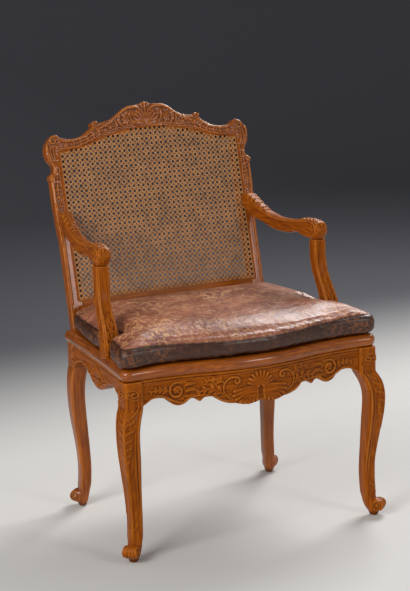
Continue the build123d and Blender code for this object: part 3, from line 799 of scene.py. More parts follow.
@dataclass
class Stroke:
    """One cut of the carver in the flat of a face.

    Attributes:
        path: Places that it passes through.
        width: Its width at the widest.
        height: How far it stands out, or how deep a groove is.
        profile: Its section.
        start: Share of the width at its start.
        end: Share of the width at its end.
        full: Shares of its length between which it has its whole width.
        vein: Width and depth of a leaf's vein, as shares of the leaf's.
    """

    path: list[Point]
    width: float
    height: float
    profile: Profile = Profile.ROUND
    start: float = 0.35
    end: float = 0.35
    full: Point = (0.35, 0.7)
    vein: Point = (0.16, 0.45)

    def heights(self, places: np.ndarray) -> np.ndarray:
        """How far the stroke lifts the face at some places.

        Args:
            places: Places in the flat of the face.

        Returns:
            One height per place.
        """
        line = spline(self.path)
        lifts = np.zeros(len(places))
        reach = self.width / 2
        low = line.min(0) - reach
        high = line.max(0) + reach
        near = np.flatnonzero(((places > low) & (places < high)).all(1))
        if not len(near):
            return lifts
        starts = line[:-1]
        runs = line[1:] - starts
        lengths = np.maximum((runs**2).sum(1), 1e-9)
        offsets = places[near, None, :] - starts
        shares = np.clip((offsets * runs).sum(2) / lengths, 0, 1)
        gaps = np.sqrt(((offsets - shares[..., None] * runs) ** 2).sum(2))
        best = gaps.argmin(1)
        rows = np.arange(len(near))
        along = (best + shares[rows, best]) / len(runs)
        swell = np.interp(along, (0, *self.full, 1), (self.start, 1, 1, self.end))
        across = np.clip(gaps[rows, best] / np.maximum(reach * swell, 1e-6), 0, 1)
        if self.profile is Profile.GROOVE:
            lifts[near] = -self.height * (1 - across**2)
            return lifts
        lifts[near] = self.height * np.sqrt(swell) * np.sqrt(1 - across**2)
        if self.profile is Profile.LEAF:
            width, depth = self.vein
            lifts[near] -= depth * self.height * bell(across, 0, width) * (across < 1)
        return lifts


def pits(
    places: np.ndarray,
    spacing: float = 4.2,
    radius: float = 1.7,
    depth: float = 0.9,
    stray: float = 0.2,
) -> np.ndarray:
    """Depth of a punched ground, one pit to a cell, each a little out of line.

    Args:
        places: Places in the flat of the face.
        spacing: Size of a cell.
        radius: Radius of a pit.
        depth: Depth of a pit.
        stray: How far a pit strays from its cell's middle, as a share of the cell.

    Returns:
        One depth per place.
    """
    cells = np.floor(places / spacing)
    turn = np.sin(cells[:, 0] * 12.99 + cells[:, 1] * 78.23) * 43.75
    jitter = np.column_stack((np.sin(turn * 7.0), np.cos(turn * 11.0))) * stray
    centres = (cells + 0.5 + jitter) * spacing
    gaps = np.linalg.norm(places - centres, axis=1)
    return depth * np.clip(1 - (gaps / radius) ** 2, 0, 1)


def spray(stem: list[Point], size: float, count: int, height: float) -> list[Stroke]:
    """Stem with pairs of leaves that grow smaller towards its tip.

    Args:
        stem: Places that the stem passes through.
        size: Length of the first leaves.
        count: How many pairs.
        height: How far they stand out.

    Returns:
        The strokes of stem and leaves.
    """
    line = spline(stem)
    strokes = [Stroke(stem, 0.34 * size, 0.8 * height, Profile.ROUND, 0.8, 0.3)]
    for index in range(count):
        share = (index + 0.4) / count
        here = min(int(share * (len(line) - 1)), len(line) - 2)
        base = line[here]
        way = (line[here + 1] - base) / np.linalg.norm(line[here + 1] - base)
        side = np.array((-way[1], way[0]))
        length = size * (1 - 0.45 * share)
        for turn in (-1, 1):
            middle = base + length * (0.5 * way + 0.36 * turn * side)
            tip = base + length * (0.8 * way + 0.82 * turn * side)
            path = [tuple(base), tuple(middle), tuple(tip)]
            strokes.append(Stroke(path, 0.56 * length, height, Profile.LEAF, 0.5, 0.15))
    return strokes


def boss(centre: Point, width: float, height: float, profile: Profile = Profile.ROUND) -> Stroke:
    """Round boss, or a round hollow if the profile is a groove."""
    return Stroke([centre, (centre[0], centre[1] + 0.1)], width, height, profile, 1, 1)


def rosette(centre: Point, radius: float, height: float, petals: int = 5) -> list[Stroke]:
    """Small flower with a boss in its middle.

    Args:
        centre: Its middle.
        radius: Its radius.
        height: How far it stands out.
        petals: How many petals.

    Returns:
        Its strokes.
    """
    strokes = [boss(centre, 0.8 * radius, 1.2 * height)]
    for index in range(petals):
        angle = 2 * math.pi * (index + 0.25) / petals
        tip = (centre[0] + radius * math.cos(angle), centre[1] + radius * math.sin(angle))
        strokes.append(Stroke([centre, tip], 0.9 * radius, height, Profile.LEAF, 0.5, 0.8))
    return strokes


def shell(root: Point, tips: list[Point], width: float, height: float) -> list[Stroke]:
    """Fan of ribs from one root.

    Args:
        root: Where the ribs meet.
        tips: Where they end.
        width: Width of a rib at its tip.
        height: How far they stand out.

    Returns:
        One stroke per rib.
    """
    return [Stroke([root, tip], width, height, Profile.ROUND, 0.35, 0.9) for tip in tips]


def mirrored(strokes: list[Stroke]) -> list[Stroke]:
    """Strokes together with their mirror images across the middle."""
    return strokes + [replace(stroke, path=[(-a, b) for a, b in stroke.path]) for stroke in strokes]


@dataclass
class CarvedPiece:
    """A wooden CAD node with rounded edges and carving.

    Attributes:
        node: Name of the node that the piece stands for.
        grain: Way in which its grain runs.
        voxel: Size of its faces.
        rounds: Rounds of smoothing.
        polish: Weight of its polish.
        recess: Depth of a hollow that is full of old wax and painted shade.
        dirt: Heights where the wood begins to darken towards the floor and where that would be full.
        dirt_most: Most of that darkening.
        mesh: Its mesh.
    """

    node: str
    grain: Grain
    voxel: float = 1.8
    rounds: int = 3
    polish: float = OLD_WAX
    recess: float = 0.9
    dirt: Point = (13.0, 5.0)
    dirt_most: float = 0.8
    mesh: bpy.types.Mesh = field(init=False)

    def __post_init__(self) -> None:
        """Makes the smooth blank."""
        self.mesh = remeshed_copy(self.node, self.voxel, self.rounds)

    def carve(
        self,
        strokes: list[Stroke],
        flat: Callable[[np.ndarray], np.ndarray],
        facing: Vector,
        spread: float = 0.35,
        punched: Callable[[np.ndarray], np.ndarray] | None = None,
    ) -> None:
        """Lifts and sinks one face of the piece.

        Args:
            strokes: The carving.
            flat: Gives the places of points in the flat of the face.
            facing: The way in which the face looks.
            spread: How square to the face a surface must be to be carved.
            punched: Says which places of the ground are punched with small pits.
        """
        points = read_points(self.mesh)
        normals = read_normals(self.mesh)
        square = normals @ np.array(facing.normalized())
        share = rise(square, spread, spread + 0.25)
        places = flat(points)
        raised = np.zeros(len(points))
        sunk = np.zeros(len(points))
        for stroke in strokes:
            lifts = stroke.heights(places)
            raised = np.maximum(raised, lifts)
            sunk = np.minimum(sunk, lifts)
        if punched is not None:
            ground = punched(places) & (raised < 0.2)
            sunk = np.where(ground, np.minimum(sunk, -pits(places)), sunk)
        points += normals * ((raised + sunk) * share)[:, None]
        write_points(self.mesh, points)

    def soften(self, share: Callable[[np.ndarray], np.ndarray], rounds: int) -> None:
        """Rounds a part of the blank further.

        Args:
            share: Gives how far each of some points is rounded.
            rounds: Rounds of smoothing.
        """
        points = read_points(self.mesh)
        drawn = smoothed(self.mesh, points, rounds)
        points += (drawn - points) * share(points)[:, None]
        write_points(self.mesh, points)

    def finish(self) -> None:
        """Marks the hollows, for dark wax and painted shade, and a darkening towards the floor, and puts the
        piece in its node's place.
        """
        points = read_points(self.mesh)
        drawn = smoothed(self.mesh, points, 10)
        # Hollow depth: dark wax and painted shade in recesses, a painted highlight on raised edges
        depth = ((drawn - points) * read_normals(self.mesh)).sum(1)
        # Darker towards the floor
        dirt = np.minimum(rise(points[:, 2], *self.dirt), self.dirt_most)
        store(self.mesh, "hollow", np.clip(depth / self.recess + dirt, -1, 1))
        finish = WaxedWalnut(self.grain, polish=self.polish)
        piece = add_object(f"carved_{self.node}", self.mesh, finish.material())
        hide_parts(self.node)
        dress(piece, FRAME_BODY)


def from_front(points: np.ndarray) -> np.ndarray:
    """Places across and upward, seen from the front."""
    return points[:, [0, 2]]


@dataclass
class BackPlane:
    """Front face of the raked back.

    Attributes:
        front: Place of the face above the seat's top, from front to back.
        seat: Height of the seat's top.
        rake: Lean of the back in degrees.
    """

    front: float
    seat: float = SEAT_TOP
    rake: float = 13.8

    def normal(self) -> Vector:
        """The way in which the face looks."""
        angle = math.radians(self.rake)
        return Vector((0, -math.cos(angle), math.sin(angle)))

    def up(self, height: float) -> float:
        """Distance along the back for a height above the floor."""
        return (height - self.seat) / math.cos(math.radians(self.rake))

    def matrix(self) -> Matrix:
        """Matrix from across, up and out of the face, in metres, to the chair's frame.

        Returns:
            The matrix.
        """
        angle = math.radians(self.rake)
        columns = ((1, 0, 0), (0, math.sin(angle), math.cos(angle)), self.normal())
        turn = Matrix(columns).transposed().to_4x4()
        return Matrix.Translation((0, self.front * MM, self.seat * MM)) @ turn


@dataclass
class CrestRail:
    """Crest rail: a shell in a cartouche, scrolls, leaves and flowers on a punched ground.

    Attributes:
        plane: Front face of the back.
        cartouche: Half the width of the shell's panel, which is not punched.
        ear: Where the punched ground ends beside the ears.
    """

    plane: BackPlane
    cartouche: float = 42.0
    ear: float = 230.0

    def middle(self) -> list[Stroke]:
        """Shell, cartouche and the two scrolls that meet below the finial.

        Returns:
            Their strokes.
        """
        scroll = [(127, 912), (117, 911), (106, 913), (93, 918), (83, 923), (74, 929), (65, 936)]
        scroll += [(56, 941), (46, 945), (36, 946), (26, 945.5), (18, 943)]
        curl = volute((20, 937), 6, 110, 1.0)
        frame = [(39, 941), (43, 930), (40, 918), (32, 909), (18, 904.5)]
        tips = [(9, 939), (18, 935.5), (26, 929), (31, 920), (30, 912)]
        strokes = [
            Stroke(scroll + curl, 7.5, 3.2),
            Stroke(frame, 5.0, 2.8),
            Stroke([(4, 945), (8, 950), (9.5, 955)], 6.5, 2.6, Profile.LEAF, 0.6, 0.5),
            *shell((0, 904), tips, 8.5, 2.2),
        ]
        centre = [
            Stroke([(0, 943), (0, 950), (0, 957)], 8.0, 3.2, Profile.LEAF, 0.8, 0.5),
            boss((0, 922), 78.0, 2.4, Profile.GROOVE),
            *shell((0, 904), [(0, 940)], 8.5, 2.4),
        ]
        return mirrored(strokes) + centre

    def wing(self) -> list[Stroke]:
        """Leaves, flowers and stems from the cartouche to the ear."""
        strokes = [
            Stroke([(66, 938), (71, 926), (72, 913), (63, 903)], 8.5, 2.8, Profile.LEAF),
            Stroke([(78, 930), (82, 918), (79, 906), (85, 899)], 6.5, 2.4, Profile.LEAF),
            Stroke([(86, 924), (94, 915), (105, 911)], 8.0, 2.6, Profile.LEAF),
            Stroke([(98, 919), (107, 909), (117, 906.5)], 7.5, 2.6, Profile.LEAF),
            Stroke([(111, 914), (119, 905), (130, 904)], 7.0, 2.4, Profile.LEAF),
            Stroke(volute((136, 918), 7.5, 250, 1.2), 5.0, 2.4),
            *rosette((54, 917), 9.5, 2.3, 6),
            *rosette((97, 904), 6.0, 1.9),
            *spray([(120, 899), (140, 892), (160, 882), (182, 875.5), (205, 872)], 13.0, 5, 2.0),
            *rosette((217, 872), 6.0, 1.9),
        ]
        return mirrored(strokes)

    def border(self) -> list[Stroke]:
        """Mouldings along the outline and along the cane, and the fluted ears.

        Returns:
            Their strokes.
        """
        upper = [(237, 887), (226, 881.5), (205, 879.5), (190, 881.5), (171, 885.5), (158, 891.5)]
        lower = [(237, 863), (216, 864), (190, 866), (175, 870), (154, 877), (135, 884.5)]
        lower += [(110, 892.5), (89, 897.5), (62, 902), (40, 904)]
        strokes = [
            Stroke([*upper, (147, 899), (138, 907)], 5.5, 2.0),
            Stroke(lower, 4.0, 1.5, Profile.ROUND, 1, 1),
            Stroke(volute((249, 883), 10.0, 170, -1.4), 5.0, 2.4),
            Stroke([(265, 884), (267, 866), (263, 846), (258, 834)], 6.5, 2.2),
            Stroke([(258, 872), (260, 857), (256, 840)], 5.5, 2.0),
            Stroke([(251, 867), (252, 852), (249, 838)], 5.0, 1.6),
            *rosette((242, 868), 4.5, 1.6),
        ]
        return mirrored(strokes)

    def punched(self, places: np.ndarray) -> np.ndarray:
        """Says where the ground is punched."""
        reach = np.abs(places[:, 0])
        return (reach > self.cartouche) & (reach < self.ear)

    def build(self) -> None:
        """Carves the front of the rail."""
        piece = CarvedPiece("crest_rail", Grain.ACROSS, 1.5, 2, BACK_POLISH)
        strokes = self.middle() + self.wing() + self.border()
        piece.carve(strokes, from_front, self.plane.normal(), 0.3, self.punched)
        piece.finish()


@dataclass
class FrontRail:
    """Front seat rail: a double shell between scrolls and foliage.

    Attributes:
        line: Height of the line cut below the seat.
        half: Half the width of the carved part.
        tip: Distance of the hanging leaf tips from the middle.
        tip_width: Half the width of a tip.
        droop: How far the tips hang.
        edge: Height below which the lower edge is drawn down.
    """

    line: float = 406.0
    half: float = 262.0
    tip: float = 142.0
    tip_width: float = 7.0
    droop: float = 9.0
    edge: float = 368.0

    def middle(self) -> list[Stroke]:
        """Two lobes of the shell, the fan above them and the scrolls beside them.

        Returns:
            Their strokes.
        """
        lobe = [(64, 364), (66, 354), (60, 345), (51, 339), (41, 336), (31, 335), (20, 337), (10, 341)]
        fan = [(10, 401), (19, 396), (26, 388), (29, 379)]
        scroll = [(70, 348), (82, 356), (89, 369), (86, 385), (75, 395), (62, 397)]
        strokes = [
            *shell((9, 371), lobe, 9.5, 2.8),
            *shell((0, 371), fan, 8.5, 2.6),
            Stroke(scroll + volute((58, 388), 8, 80, 1.1), 6.5, 2.8),
            boss((7, 370), 10.0, 3.4),
        ]
        return mirrored(strokes) + shell((0, 371), [(0, 403)], 8.5, 2.8)

    def wing(self) -> list[Stroke]:
        """Foliage and the outer scroll of each side."""
        strokes = [
            *spray([(90, 362), (104, 370), (120, 375), (136, 373), (150, 368)], 17.0, 4, 2.4),
            *spray([(88, 387), (102, 395), (118, 396), (134, 391)], 12.0, 3, 2.0),
            Stroke(volute((194, 379), 20, 125, -1.45, 0.2), 6.5, 2.8),
            Stroke([(177, 386), (167, 392), (153, 392)], 8.5, 2.4, Profile.LEAF),
            Stroke([(174, 375), (162, 379), (149, 377)], 8.5, 2.4, Profile.LEAF),
            Stroke([(177, 365), (166, 364), (154, 366)], 8.0, 2.2, Profile.LEAF),
            *spray([(214, 379), (228, 384), (244, 385), (259, 381)], 12.0, 4, 1.9),
            *rosette((194, 379), 6.0, 2.4),
        ]
        return mirrored(strokes)

    def border(self) -> list[Stroke]:
        """Moulding along the lower edge and the cut line below the seat.

        Returns:
            Their strokes.
        """
        outer = [(270, 358), (254, 368), (235, 372), (214, 363), (197, 354), (181, 351), (169, 358)]
        inner = [(112, 363), (103, 354), (90, 346), (74, 342)]
        strokes = [
            Stroke([*outer, (158, 363), (140, 363), (118, 363)], 5.5, 2.2),
            Stroke(inner, 5.5, 2.2),
            Stroke([(0, self.line), (140, self.line), (285, self.line)], 3.2, 1.4, Profile.GROOVE, 1, 1),
        ]
        return mirrored(strokes)

    def punched(self, places: np.ndarray) -> np.ndarray:
        """Says where the ground is punched."""
        return (np.abs(places[:, 0]) < self.half) & (places[:, 1] < self.line - 3)

    def hang_leaf_tips(self, piece: CarvedPiece) -> None:
        """Draws the two small leaf tips out of the lower edge.

        Args:
            piece: The rail, before it is carved.
        """
        points = read_points(piece.mesh)
        low = rise(points[:, 2], self.edge, self.edge - 10)
        points[:, 2] -= self.droop * bell(np.abs(points[:, 0]), self.tip, self.tip_width) * low
        write_points(piece.mesh, points)

    def build(self) -> None:
        """Carves the front of the rail."""
        piece = CarvedPiece("front_rail", Grain.ACROSS, 1.5, 2)
        self.hang_leaf_tips(piece)
        strokes = self.middle() + self.wing() + self.border()
        piece.carve(strokes, from_front, Vector((0, -1, 0)), 0.3, self.punched)
        piece.finish()


@dataclass
class ScrollFoot:
    """Scroll at the bottom of a leg, turned outward along the seat's diagonal.

    Attributes:
        side: Side of the chair.
        outward: Which way the foot points from front to back, -1 or 1.
        centre: Place of the leg's centre line, as a distance from the middle and a depth.
        swing: Distance of the scroll from the leg's centre line.
        eye: Height of the scroll's eye.
        radius: Radius of its volute.
        swell: How far the scroll stands out over its blank.
        ankle: Heights where the scroll begins to be rounded and where it is wholly.
        rounds: Rounds of that smoothing.
    """

    side: Side
    outward: float
    centre: Point
    swing: float
    eye: float = 27.0
    radius: float = 11.0
    swell: float = 2.0
    ankle: Point = (54.0, 42.0)
    rounds: int = 45

    def flat(self, points: np.ndarray, turn: int) -> np.ndarray:
        """Places along the diagonal, or across it for a turn of -1, and upward.

        Args:
            points: Points of the leg.
            turn: 1 for along the diagonal and -1 for across it.

        Returns:
            One place per point.
        """
        out_x = self.side.value * points[:, 0] - self.centre[0]
        out_y = self.outward * (points[:, 1] - self.centre[1])
        return np.column_stack(((out_x + turn * out_y) * math.sqrt(0.5), points[:, 2]))

    def across(self, points: np.ndarray) -> np.ndarray:
        """Places across the diagonal and upward."""
        return self.flat(points, -1)

    def along(self, points: np.ndarray) -> np.ndarray:
        """Places along the diagonal and upward."""
        return self.flat(points, 1)

    def facing(self) -> Vector:
        """The way in which the foot points."""
        return Vector((self.side.value, self.outward, 0))

    def round_off(self, piece: CarvedPiece) -> None:
        """Rounds the scroll and swells it a little, so that it grows out of the leg.

        Args:
            piece: The leg, before it is carved.
        """
        piece.soften(lambda points: rise(points[:, 2], *self.ankle), self.rounds)
        points = read_points(piece.mesh)
        offsets = self.along(points) - np.array((self.swing, self.eye))
        gaps = np.maximum(np.linalg.norm(offsets, axis=1), 1e-6)
        push = self.swell * rise(gaps, self.radius + 7, self.radius + 3) * rise(gaps, 0, 8)
        moves = offsets * (push / gaps)[:, None]
        way = self.facing().normalized()
        points += np.column_stack((moves[:, 0] * way.x, moves[:, 0] * way.y, moves[:, 1]))
        write_points(piece.mesh, points)

    def carve(self, piece: CarvedPiece) -> None:
        """Cuts the volute in both ends of the scroll and a leaf over its front.

        Args:
            piece: The leg.
        """
        leaf = [
            Stroke([(0, 15), (0, 28), (0, 46)], 7.5, 1.7, Profile.LEAF, 0.7, 0.3),
            Stroke([(8, 15), (8, 28), (5, 43)], 7.0, 1.6, Profile.LEAF, 0.7, 0.3),
            Stroke([(15, 17), (15, 28), (11, 40)], 6.0, 1.4, Profile.ROUND, 0.7, 0.3),
        ]
        piece.carve(mirrored(leaf), self.across, self.facing(), 0.35)
        eye = (self.swing, self.eye)
        strokes = [
            Stroke(volute(eye, self.radius, 100, -1.7, 0.3), 3.6, 1.8, Profile.GROOVE, 0.6, 1),
            boss(eye, 6.0, 1.8),
        ]
        end = Vector((self.side.value, -self.outward, 0))
        piece.carve(strokes, self.along, end, 0.6)
        piece.carve(strokes, self.along, -end, 0.6)


@dataclass
class FrontLeg:
    """Front cabriole leg: scrolls and a drop of leaves on the knee, a leaf above the foot.

    Attributes:
        side: Side of the chair.
        centre: Place of the leg's centre line, as a distance from the middle and a depth.
        swing: Distance of the foot's scroll from it.
    """

    side: Side
    centre: Point = (297.5, -251.49)
    swing: float = 32.5

    def knee(self) -> list[Stroke]:
        """Scrolls below the seat, a plain panel and the drop of leaves.

        Returns:
            Their strokes.
        """
        strokes = [
            Stroke([(2, 393), (10, 396), (19, 391)] + volute((15, 384), 7.5, 60, -1.2), 5.0, 1.9),
            Stroke([(6, 380), (14, 372), (24, 374)], 6.0, 1.5, Profile.LEAF),
            Stroke([(24, 366), (21, 350), (13, 338), (4, 334)], 4.5, 1.2),
            Stroke([(1, 312), (7, 322), (15, 326), (19, 334)], 7.0, 1.6, Profile.LEAF),
            Stroke([(1, 294), (7, 303), (14, 306), (18, 313)], 7.0, 1.6, Profile.LEAF),
            Stroke([(1, 277), (7, 285), (13, 287), (16, 294)], 6.5, 1.5, Profile.LEAF),
            Stroke([(1, 260), (6, 267), (11, 269), (13, 275)], 6.0, 1.4, Profile.LEAF),
            Stroke([(1, 245), (5, 251), (9, 252), (11, 257)], 5.5, 1.3, Profile.LEAF),
            Stroke([(1, 231), (4, 236), (7, 238), (8, 242)], 4.5, 1.1, Profile.LEAF),
        ]
        centre = [
            Stroke([(0, 334), (0, 300), (0, 262), (0, 214)], 5.5, 1.7, Profile.ROUND, 0.6, 0.2),
            *rosette((0, 383), 6.5, 1.9),
        ]
        return mirrored(strokes) + centre

    def edges(self) -> list[Stroke]:
        """Double moulding down the rear edges of the two faces.

        Returns:
            Their strokes.
        """
        outer = [(28, 366), (27.5, 340), (26, 300), (23.5, 250), (20.5, 200), (18.5, 150), (17.5, 108)]
        inner = [(21, 300), (18.5, 250), (15.5, 200), (14, 150), (13, 112)]
        strokes = [
            Stroke(outer, 4.5, 1.8, Profile.ROUND, 1, 0.5),
            Stroke(inner, 3.4, 1.3, Profile.ROUND, 0.4, 0.4),
        ]
        return mirrored(strokes)

    def build(self) -> None:
        """Carves the two outward faces of the leg and its foot."""
        piece = CarvedPiece(self.side.node("front_leg"), Grain.UPRIGHT, 1.7)
        foot = ScrollFoot(self.side, -1, self.centre, self.swing)
        foot.round_off(piece)
        leaf = [
            Stroke([(0, 56), (0, 86), (0, 134)], 6.0, 1.4, Profile.LEAF, 0.5, 0.2),
            Stroke([(1, 70), (7, 78), (12, 90)], 6.5, 1.4, Profile.LEAF),
            Stroke([(1, 92), (6, 100), (10, 112)], 5.5, 1.2, Profile.LEAF),
        ]
        piece.carve(self.knee() + self.edges() + mirrored(leaf), foot.across, foot.facing(), 0.3)
        foot.carve(piece)
        piece.finish()


@dataclass
class RearLeg:
    """Rear leg in one piece with the stile of the back.

    Attributes:
        side: Side of the chair.
        plane: Front face of the back.
        centre: Place of the leg's centre line, as a distance from the middle and a depth.
        swing: Distance of the foot's scroll from it.
        arm: Height above which the stile is punched.
        ground: Least and greatest distance of the punched ground from the middle.
    """

    side: Side
    plane: BackPlane
    centre: Point = (255.0, 158.01)
    swing: float = 16.0
    arm: float = 704.0
    ground: Point = (245.0, 259.0)

    def stile(self) -> list[Stroke]:
        """Mouldings, a stem of leaves and the flower at the nub."""
        outer = [(258, 831), (254, 816), (257, 802), (262, 786), (262.5, 744), (259.5, 715)]
        return [
            Stroke([*outer, (256, 660), (256, 580), (256, 500)], 4.0, 1.6, Profile.ROUND, 1, 1),
            Stroke([(244, 832), (244, 770), (244, 704)], 3.4, 1.3, Profile.ROUND, 1, 1),
            *spray([(251, 830), (250, 806), (253, 778), (253, 750), (251, 716)], 12.0, 6, 1.9),
            *rosette((262, 796), 6.5, 2.2),
        ]

    def flat(self, points: np.ndarray) -> np.ndarray:
        """Places outward and upward on the front of the stile."""
        return np.column_stack((self.side.value * points[:, 0], points[:, 2]))

    def punched(self, places: np.ndarray) -> np.ndarray:
        """Says where the ground is punched."""
        inner, outer = self.ground
        return (places[:, 1] > self.arm) & (places[:, 0] > inner) & (places[:, 0] < outer)

    def build(self) -> None:
        """Carves the stile, the edges of the leg and its foot."""
        piece = CarvedPiece(self.side.node("rear_leg"), Grain.UPRIGHT, polish=BACK_POLISH)
        foot = ScrollFoot(self.side, 1, self.centre, self.swing)
        foot.round_off(piece)
        piece.carve(self.stile(), self.flat, self.plane.normal(), 0.5, self.punched)
        edge = [(22, 330), (20.5, 250), (17.5, 180), (15.5, 110)]
        moulding = mirrored([Stroke(edge, 4.0, 1.4, Profile.ROUND, 0.5, 0.5)])
        piece.carve(moulding, foot.across, foot.facing(), 0.3)
        foot.carve(piece)
        piece.finish()


@dataclass
class Arm:
    """Arm with an acanthus leaf at each end and a volute on its sides.

    Attributes:
        side: Side of the chair.
        root: Place of its root, as a distance from the middle and a depth.
        scroll: Place of its scroll's axis.
        crown: Height of the scroll's axis.
        radius: Radius of the volute.
        waist: Share by which the middle is narrower than its blank.
        scoop: Depth of the two hollows in the underside.
        line: Depths and heights of its centre line.
        knuckle: Depths where the scroll begins to be rounded and where it is wholly.
        rounds: Rounds of that smoothing.
        waist_at: Depth of the waist and its length.
        waist_end: Depths between which the waist runs out behind the scroll.
        hollows: Depths of the two hollows and their lengths.
    """

    side: Side
    root: Point = (245.5, 216.7)
    scroll: Point = (280.0, -73.99)
    crown: float = 661.0
    radius: float = 18.0
    waist: float = 0.22
    scoop: float = 8.0
    line: tuple[Point, ...] = ((-42, 661), (4.5, 658), (54, 656), (89, 657), (141, 665.6), (173, 678.5))
    knuckle: Point = (-30.0, -50.0)
    rounds: int = 60
    waist_at: Point = (45.0, 75.0)
    waist_end: Point = (-50.0, -20.0)
    hollows: tuple[Point, ...] = ((-2.0, 25.0), (136.0, 32.0))

    def above(self, points: np.ndarray) -> np.ndarray:
        """Places beside the arm's centre line and along the arm, seen from above.

        Args:
            points: Points of the arm.

        Returns:
            One place per point.
        """
        share = (self.root[1] - points[:, 1]) / (self.root[1] - self.scroll[1])
        middle = self.root[0] + share * (self.scroll[0] - self.root[0])
        return np.column_stack((self.side.value * points[:, 0] - middle, points[:, 1]))

    def top(self) -> list[Stroke]:
        """Leaves on the top of the arm."""
        return [
            *spray([(0, 214), (0, 190), (0, 158), (0, 128)], 21.0, 5, 2.6),
            *spray([(0, -14), (0, -40), (0, -66), (0, -92)], 20.0, 5, 2.4),
            *mirrored([Stroke([(12, 118), (12, 60), (12, -6)], 4.0, 1.4, Profile.ROUND, 0.4, 0.4)]),
        ]

    def slim(self, piece: CarvedPiece) -> None:
        """Draws in the waist and hollows the underside.

        Args:
            piece: The arm, before it is carved.
        """
        points = read_points(piece.mesh)
        along = points[:, 1]
        waist = bell(along, *self.waist_at) * rise(along, *self.waist_end)
        points[:, 0] -= self.side.value * self.above(points)[:, 0] * self.waist * waist
        middle = np.interp(along, *zip(*self.line))
        hollows = sum(bell(along, *hollow) for hollow in self.hollows)
        points[:, 2] += self.scoop * hollows * rise(points[:, 2], middle, middle - 12)
        write_points(piece.mesh, points)

    def ahead(self, points: np.ndarray) -> np.ndarray:
        """Places beside the arm's centre line and upward, seen from the front."""
        return np.column_stack((self.above(points)[:, 0], points[:, 2]))

    def front(self) -> list[Stroke]:
        """Leaf that hangs over the front of the scroll."""
        strokes = [
            Stroke([(0, 684), (0, 664), (0, 646)], 8.0, 2.0, Profile.LEAF, 0.9, 0.3),
            Stroke([(7, 684), (8, 668), (6, 654)], 7.0, 1.9, Profile.LEAF, 0.9, 0.3),
            Stroke([(13, 680), (13, 668), (11, 659)], 5.0, 1.5, Profile.ROUND, 0.9, 0.4),
        ]
        return mirrored(strokes)

    def flank(self) -> list[Stroke]:
        """Mouldings and the volute on the sides of the arm.

        Returns:
            Their strokes.
        """
        upper = [(176, 696), (141, 682), (89, 670), (54, 668.5), (5, 672), (-42, 679), (-66, 681)]
        lower = [(176, 666), (141, 656), (89, 647), (54, 644), (5, 651), (-34, 644)]
        eye = (self.scroll[1], self.crown)
        return [
            Stroke(upper + volute(eye, self.radius, 85, 0.9, 0.5), 5.0, 1.6),
            Stroke(lower, 4.0, 1.2),
            *rosette(eye, 11.0, 2.0),
        ]

    def build(self) -> None:
        """Slims the arm and carves its top, its front and both sides."""
        piece = CarvedPiece(self.side.node("arm"), Grain.DEEP, 1.6)
        piece.soften(lambda points: rise(points[:, 1], *self.knuckle), self.rounds)
        self.slim(piece)
        piece.carve(self.top(), self.above, Vector((0, -0.25, 1)), 0.3)
        piece.carve(self.front(), self.ahead, Vector((0, -1, 0)), 0.45)
        for turn in (-1, 1):
            piece.carve(self.flank(), lambda points: points[:, [1, 2]], Vector((turn, 0, 0)), 0.6)
        piece.finish()


@dataclass
class ArmSupport:
    """Arm support with moulded edges and a leaf at its base.

    Attributes:
        side: Side of the chair.
        heights: Heights at which its bend is known.
        across: Distances of its centre line from the middle there.
        depths: Depths of its centre line there.
        halves: Half its thickness there.
    """

    side: Side
    heights: tuple[float, ...] = (441.0, 470.5, 500.0, 531.5, 565.0, 602.6, 638.0)
    across: tuple[float, ...] = (285.0, 285.5, 285.8, 285.0, 282.5, 280.7, 280.0)
    depths: tuple[float, ...] = (-123.0, -119.0, -111.8, -93.9, -78.1, -72.0, -72.0)
    halves: tuple[float, ...] = (20.0, 18.3, 16.7, 15.1, 14.5, 14.5, 14.7)

    def strokes(self) -> list[Stroke]:
        """Carving of one face.

        Returns:
            Its strokes.
        """
        edge = [(11, 446), (11, 500), (11, 560), (11, 632)]
        strokes = [
            Stroke(edge, 3.6, 1.4, Profile.ROUND, 1, 1),
            Stroke([(0, 444), (0, 486), (0, 534)], 8.0, 2.2, Profile.LEAF, 0.8, 0.2),
            Stroke([(2, 450), (8, 458), (8, 470), (3, 474)], 6.0, 2.2, Profile.LEAF),
            Stroke([(2, 476), (7, 484), (7, 495), (3, 499)], 5.5, 2.0, Profile.LEAF),
            Stroke([(1, 500), (5, 508), (5, 518)], 5.0, 1.7, Profile.LEAF),
        ]
        return mirrored(strokes)

    def flat(self, points: np.ndarray, facing: Vector) -> np.ndarray:
        """Places beside the centre line of a face, drawn to an even width, and upward.

        Args:
            points: Points of the support.
            facing: The way in which the face looks.

        Returns:
            One place per point.
        """
        half = np.interp(points[:, 2], self.heights, self.halves)
        if abs(facing.x) > abs(facing.y):
            beside = points[:, 1] - np.interp(points[:, 2], self.heights, self.depths)
        else:
            beside = self.side.value * points[:, 0] - np.interp(points[:, 2], self.heights, self.across)
        return np.column_stack((beside / half * self.halves[-1], points[:, 2]))

    def build(self) -> None:
        """Carves the four faces."""
        piece = CarvedPiece(self.side.node("arm_support"), Grain.UPRIGHT, 1.6)
        for facing in (Vector((0, -1, 0)), Vector((1, 0, 0)), Vector((-1, 0, 0)), Vector((0, 1, 0))):
            piece.carve(self.strokes(), lambda points: self.flat(points, facing), facing, 0.55)
        piece.finish()


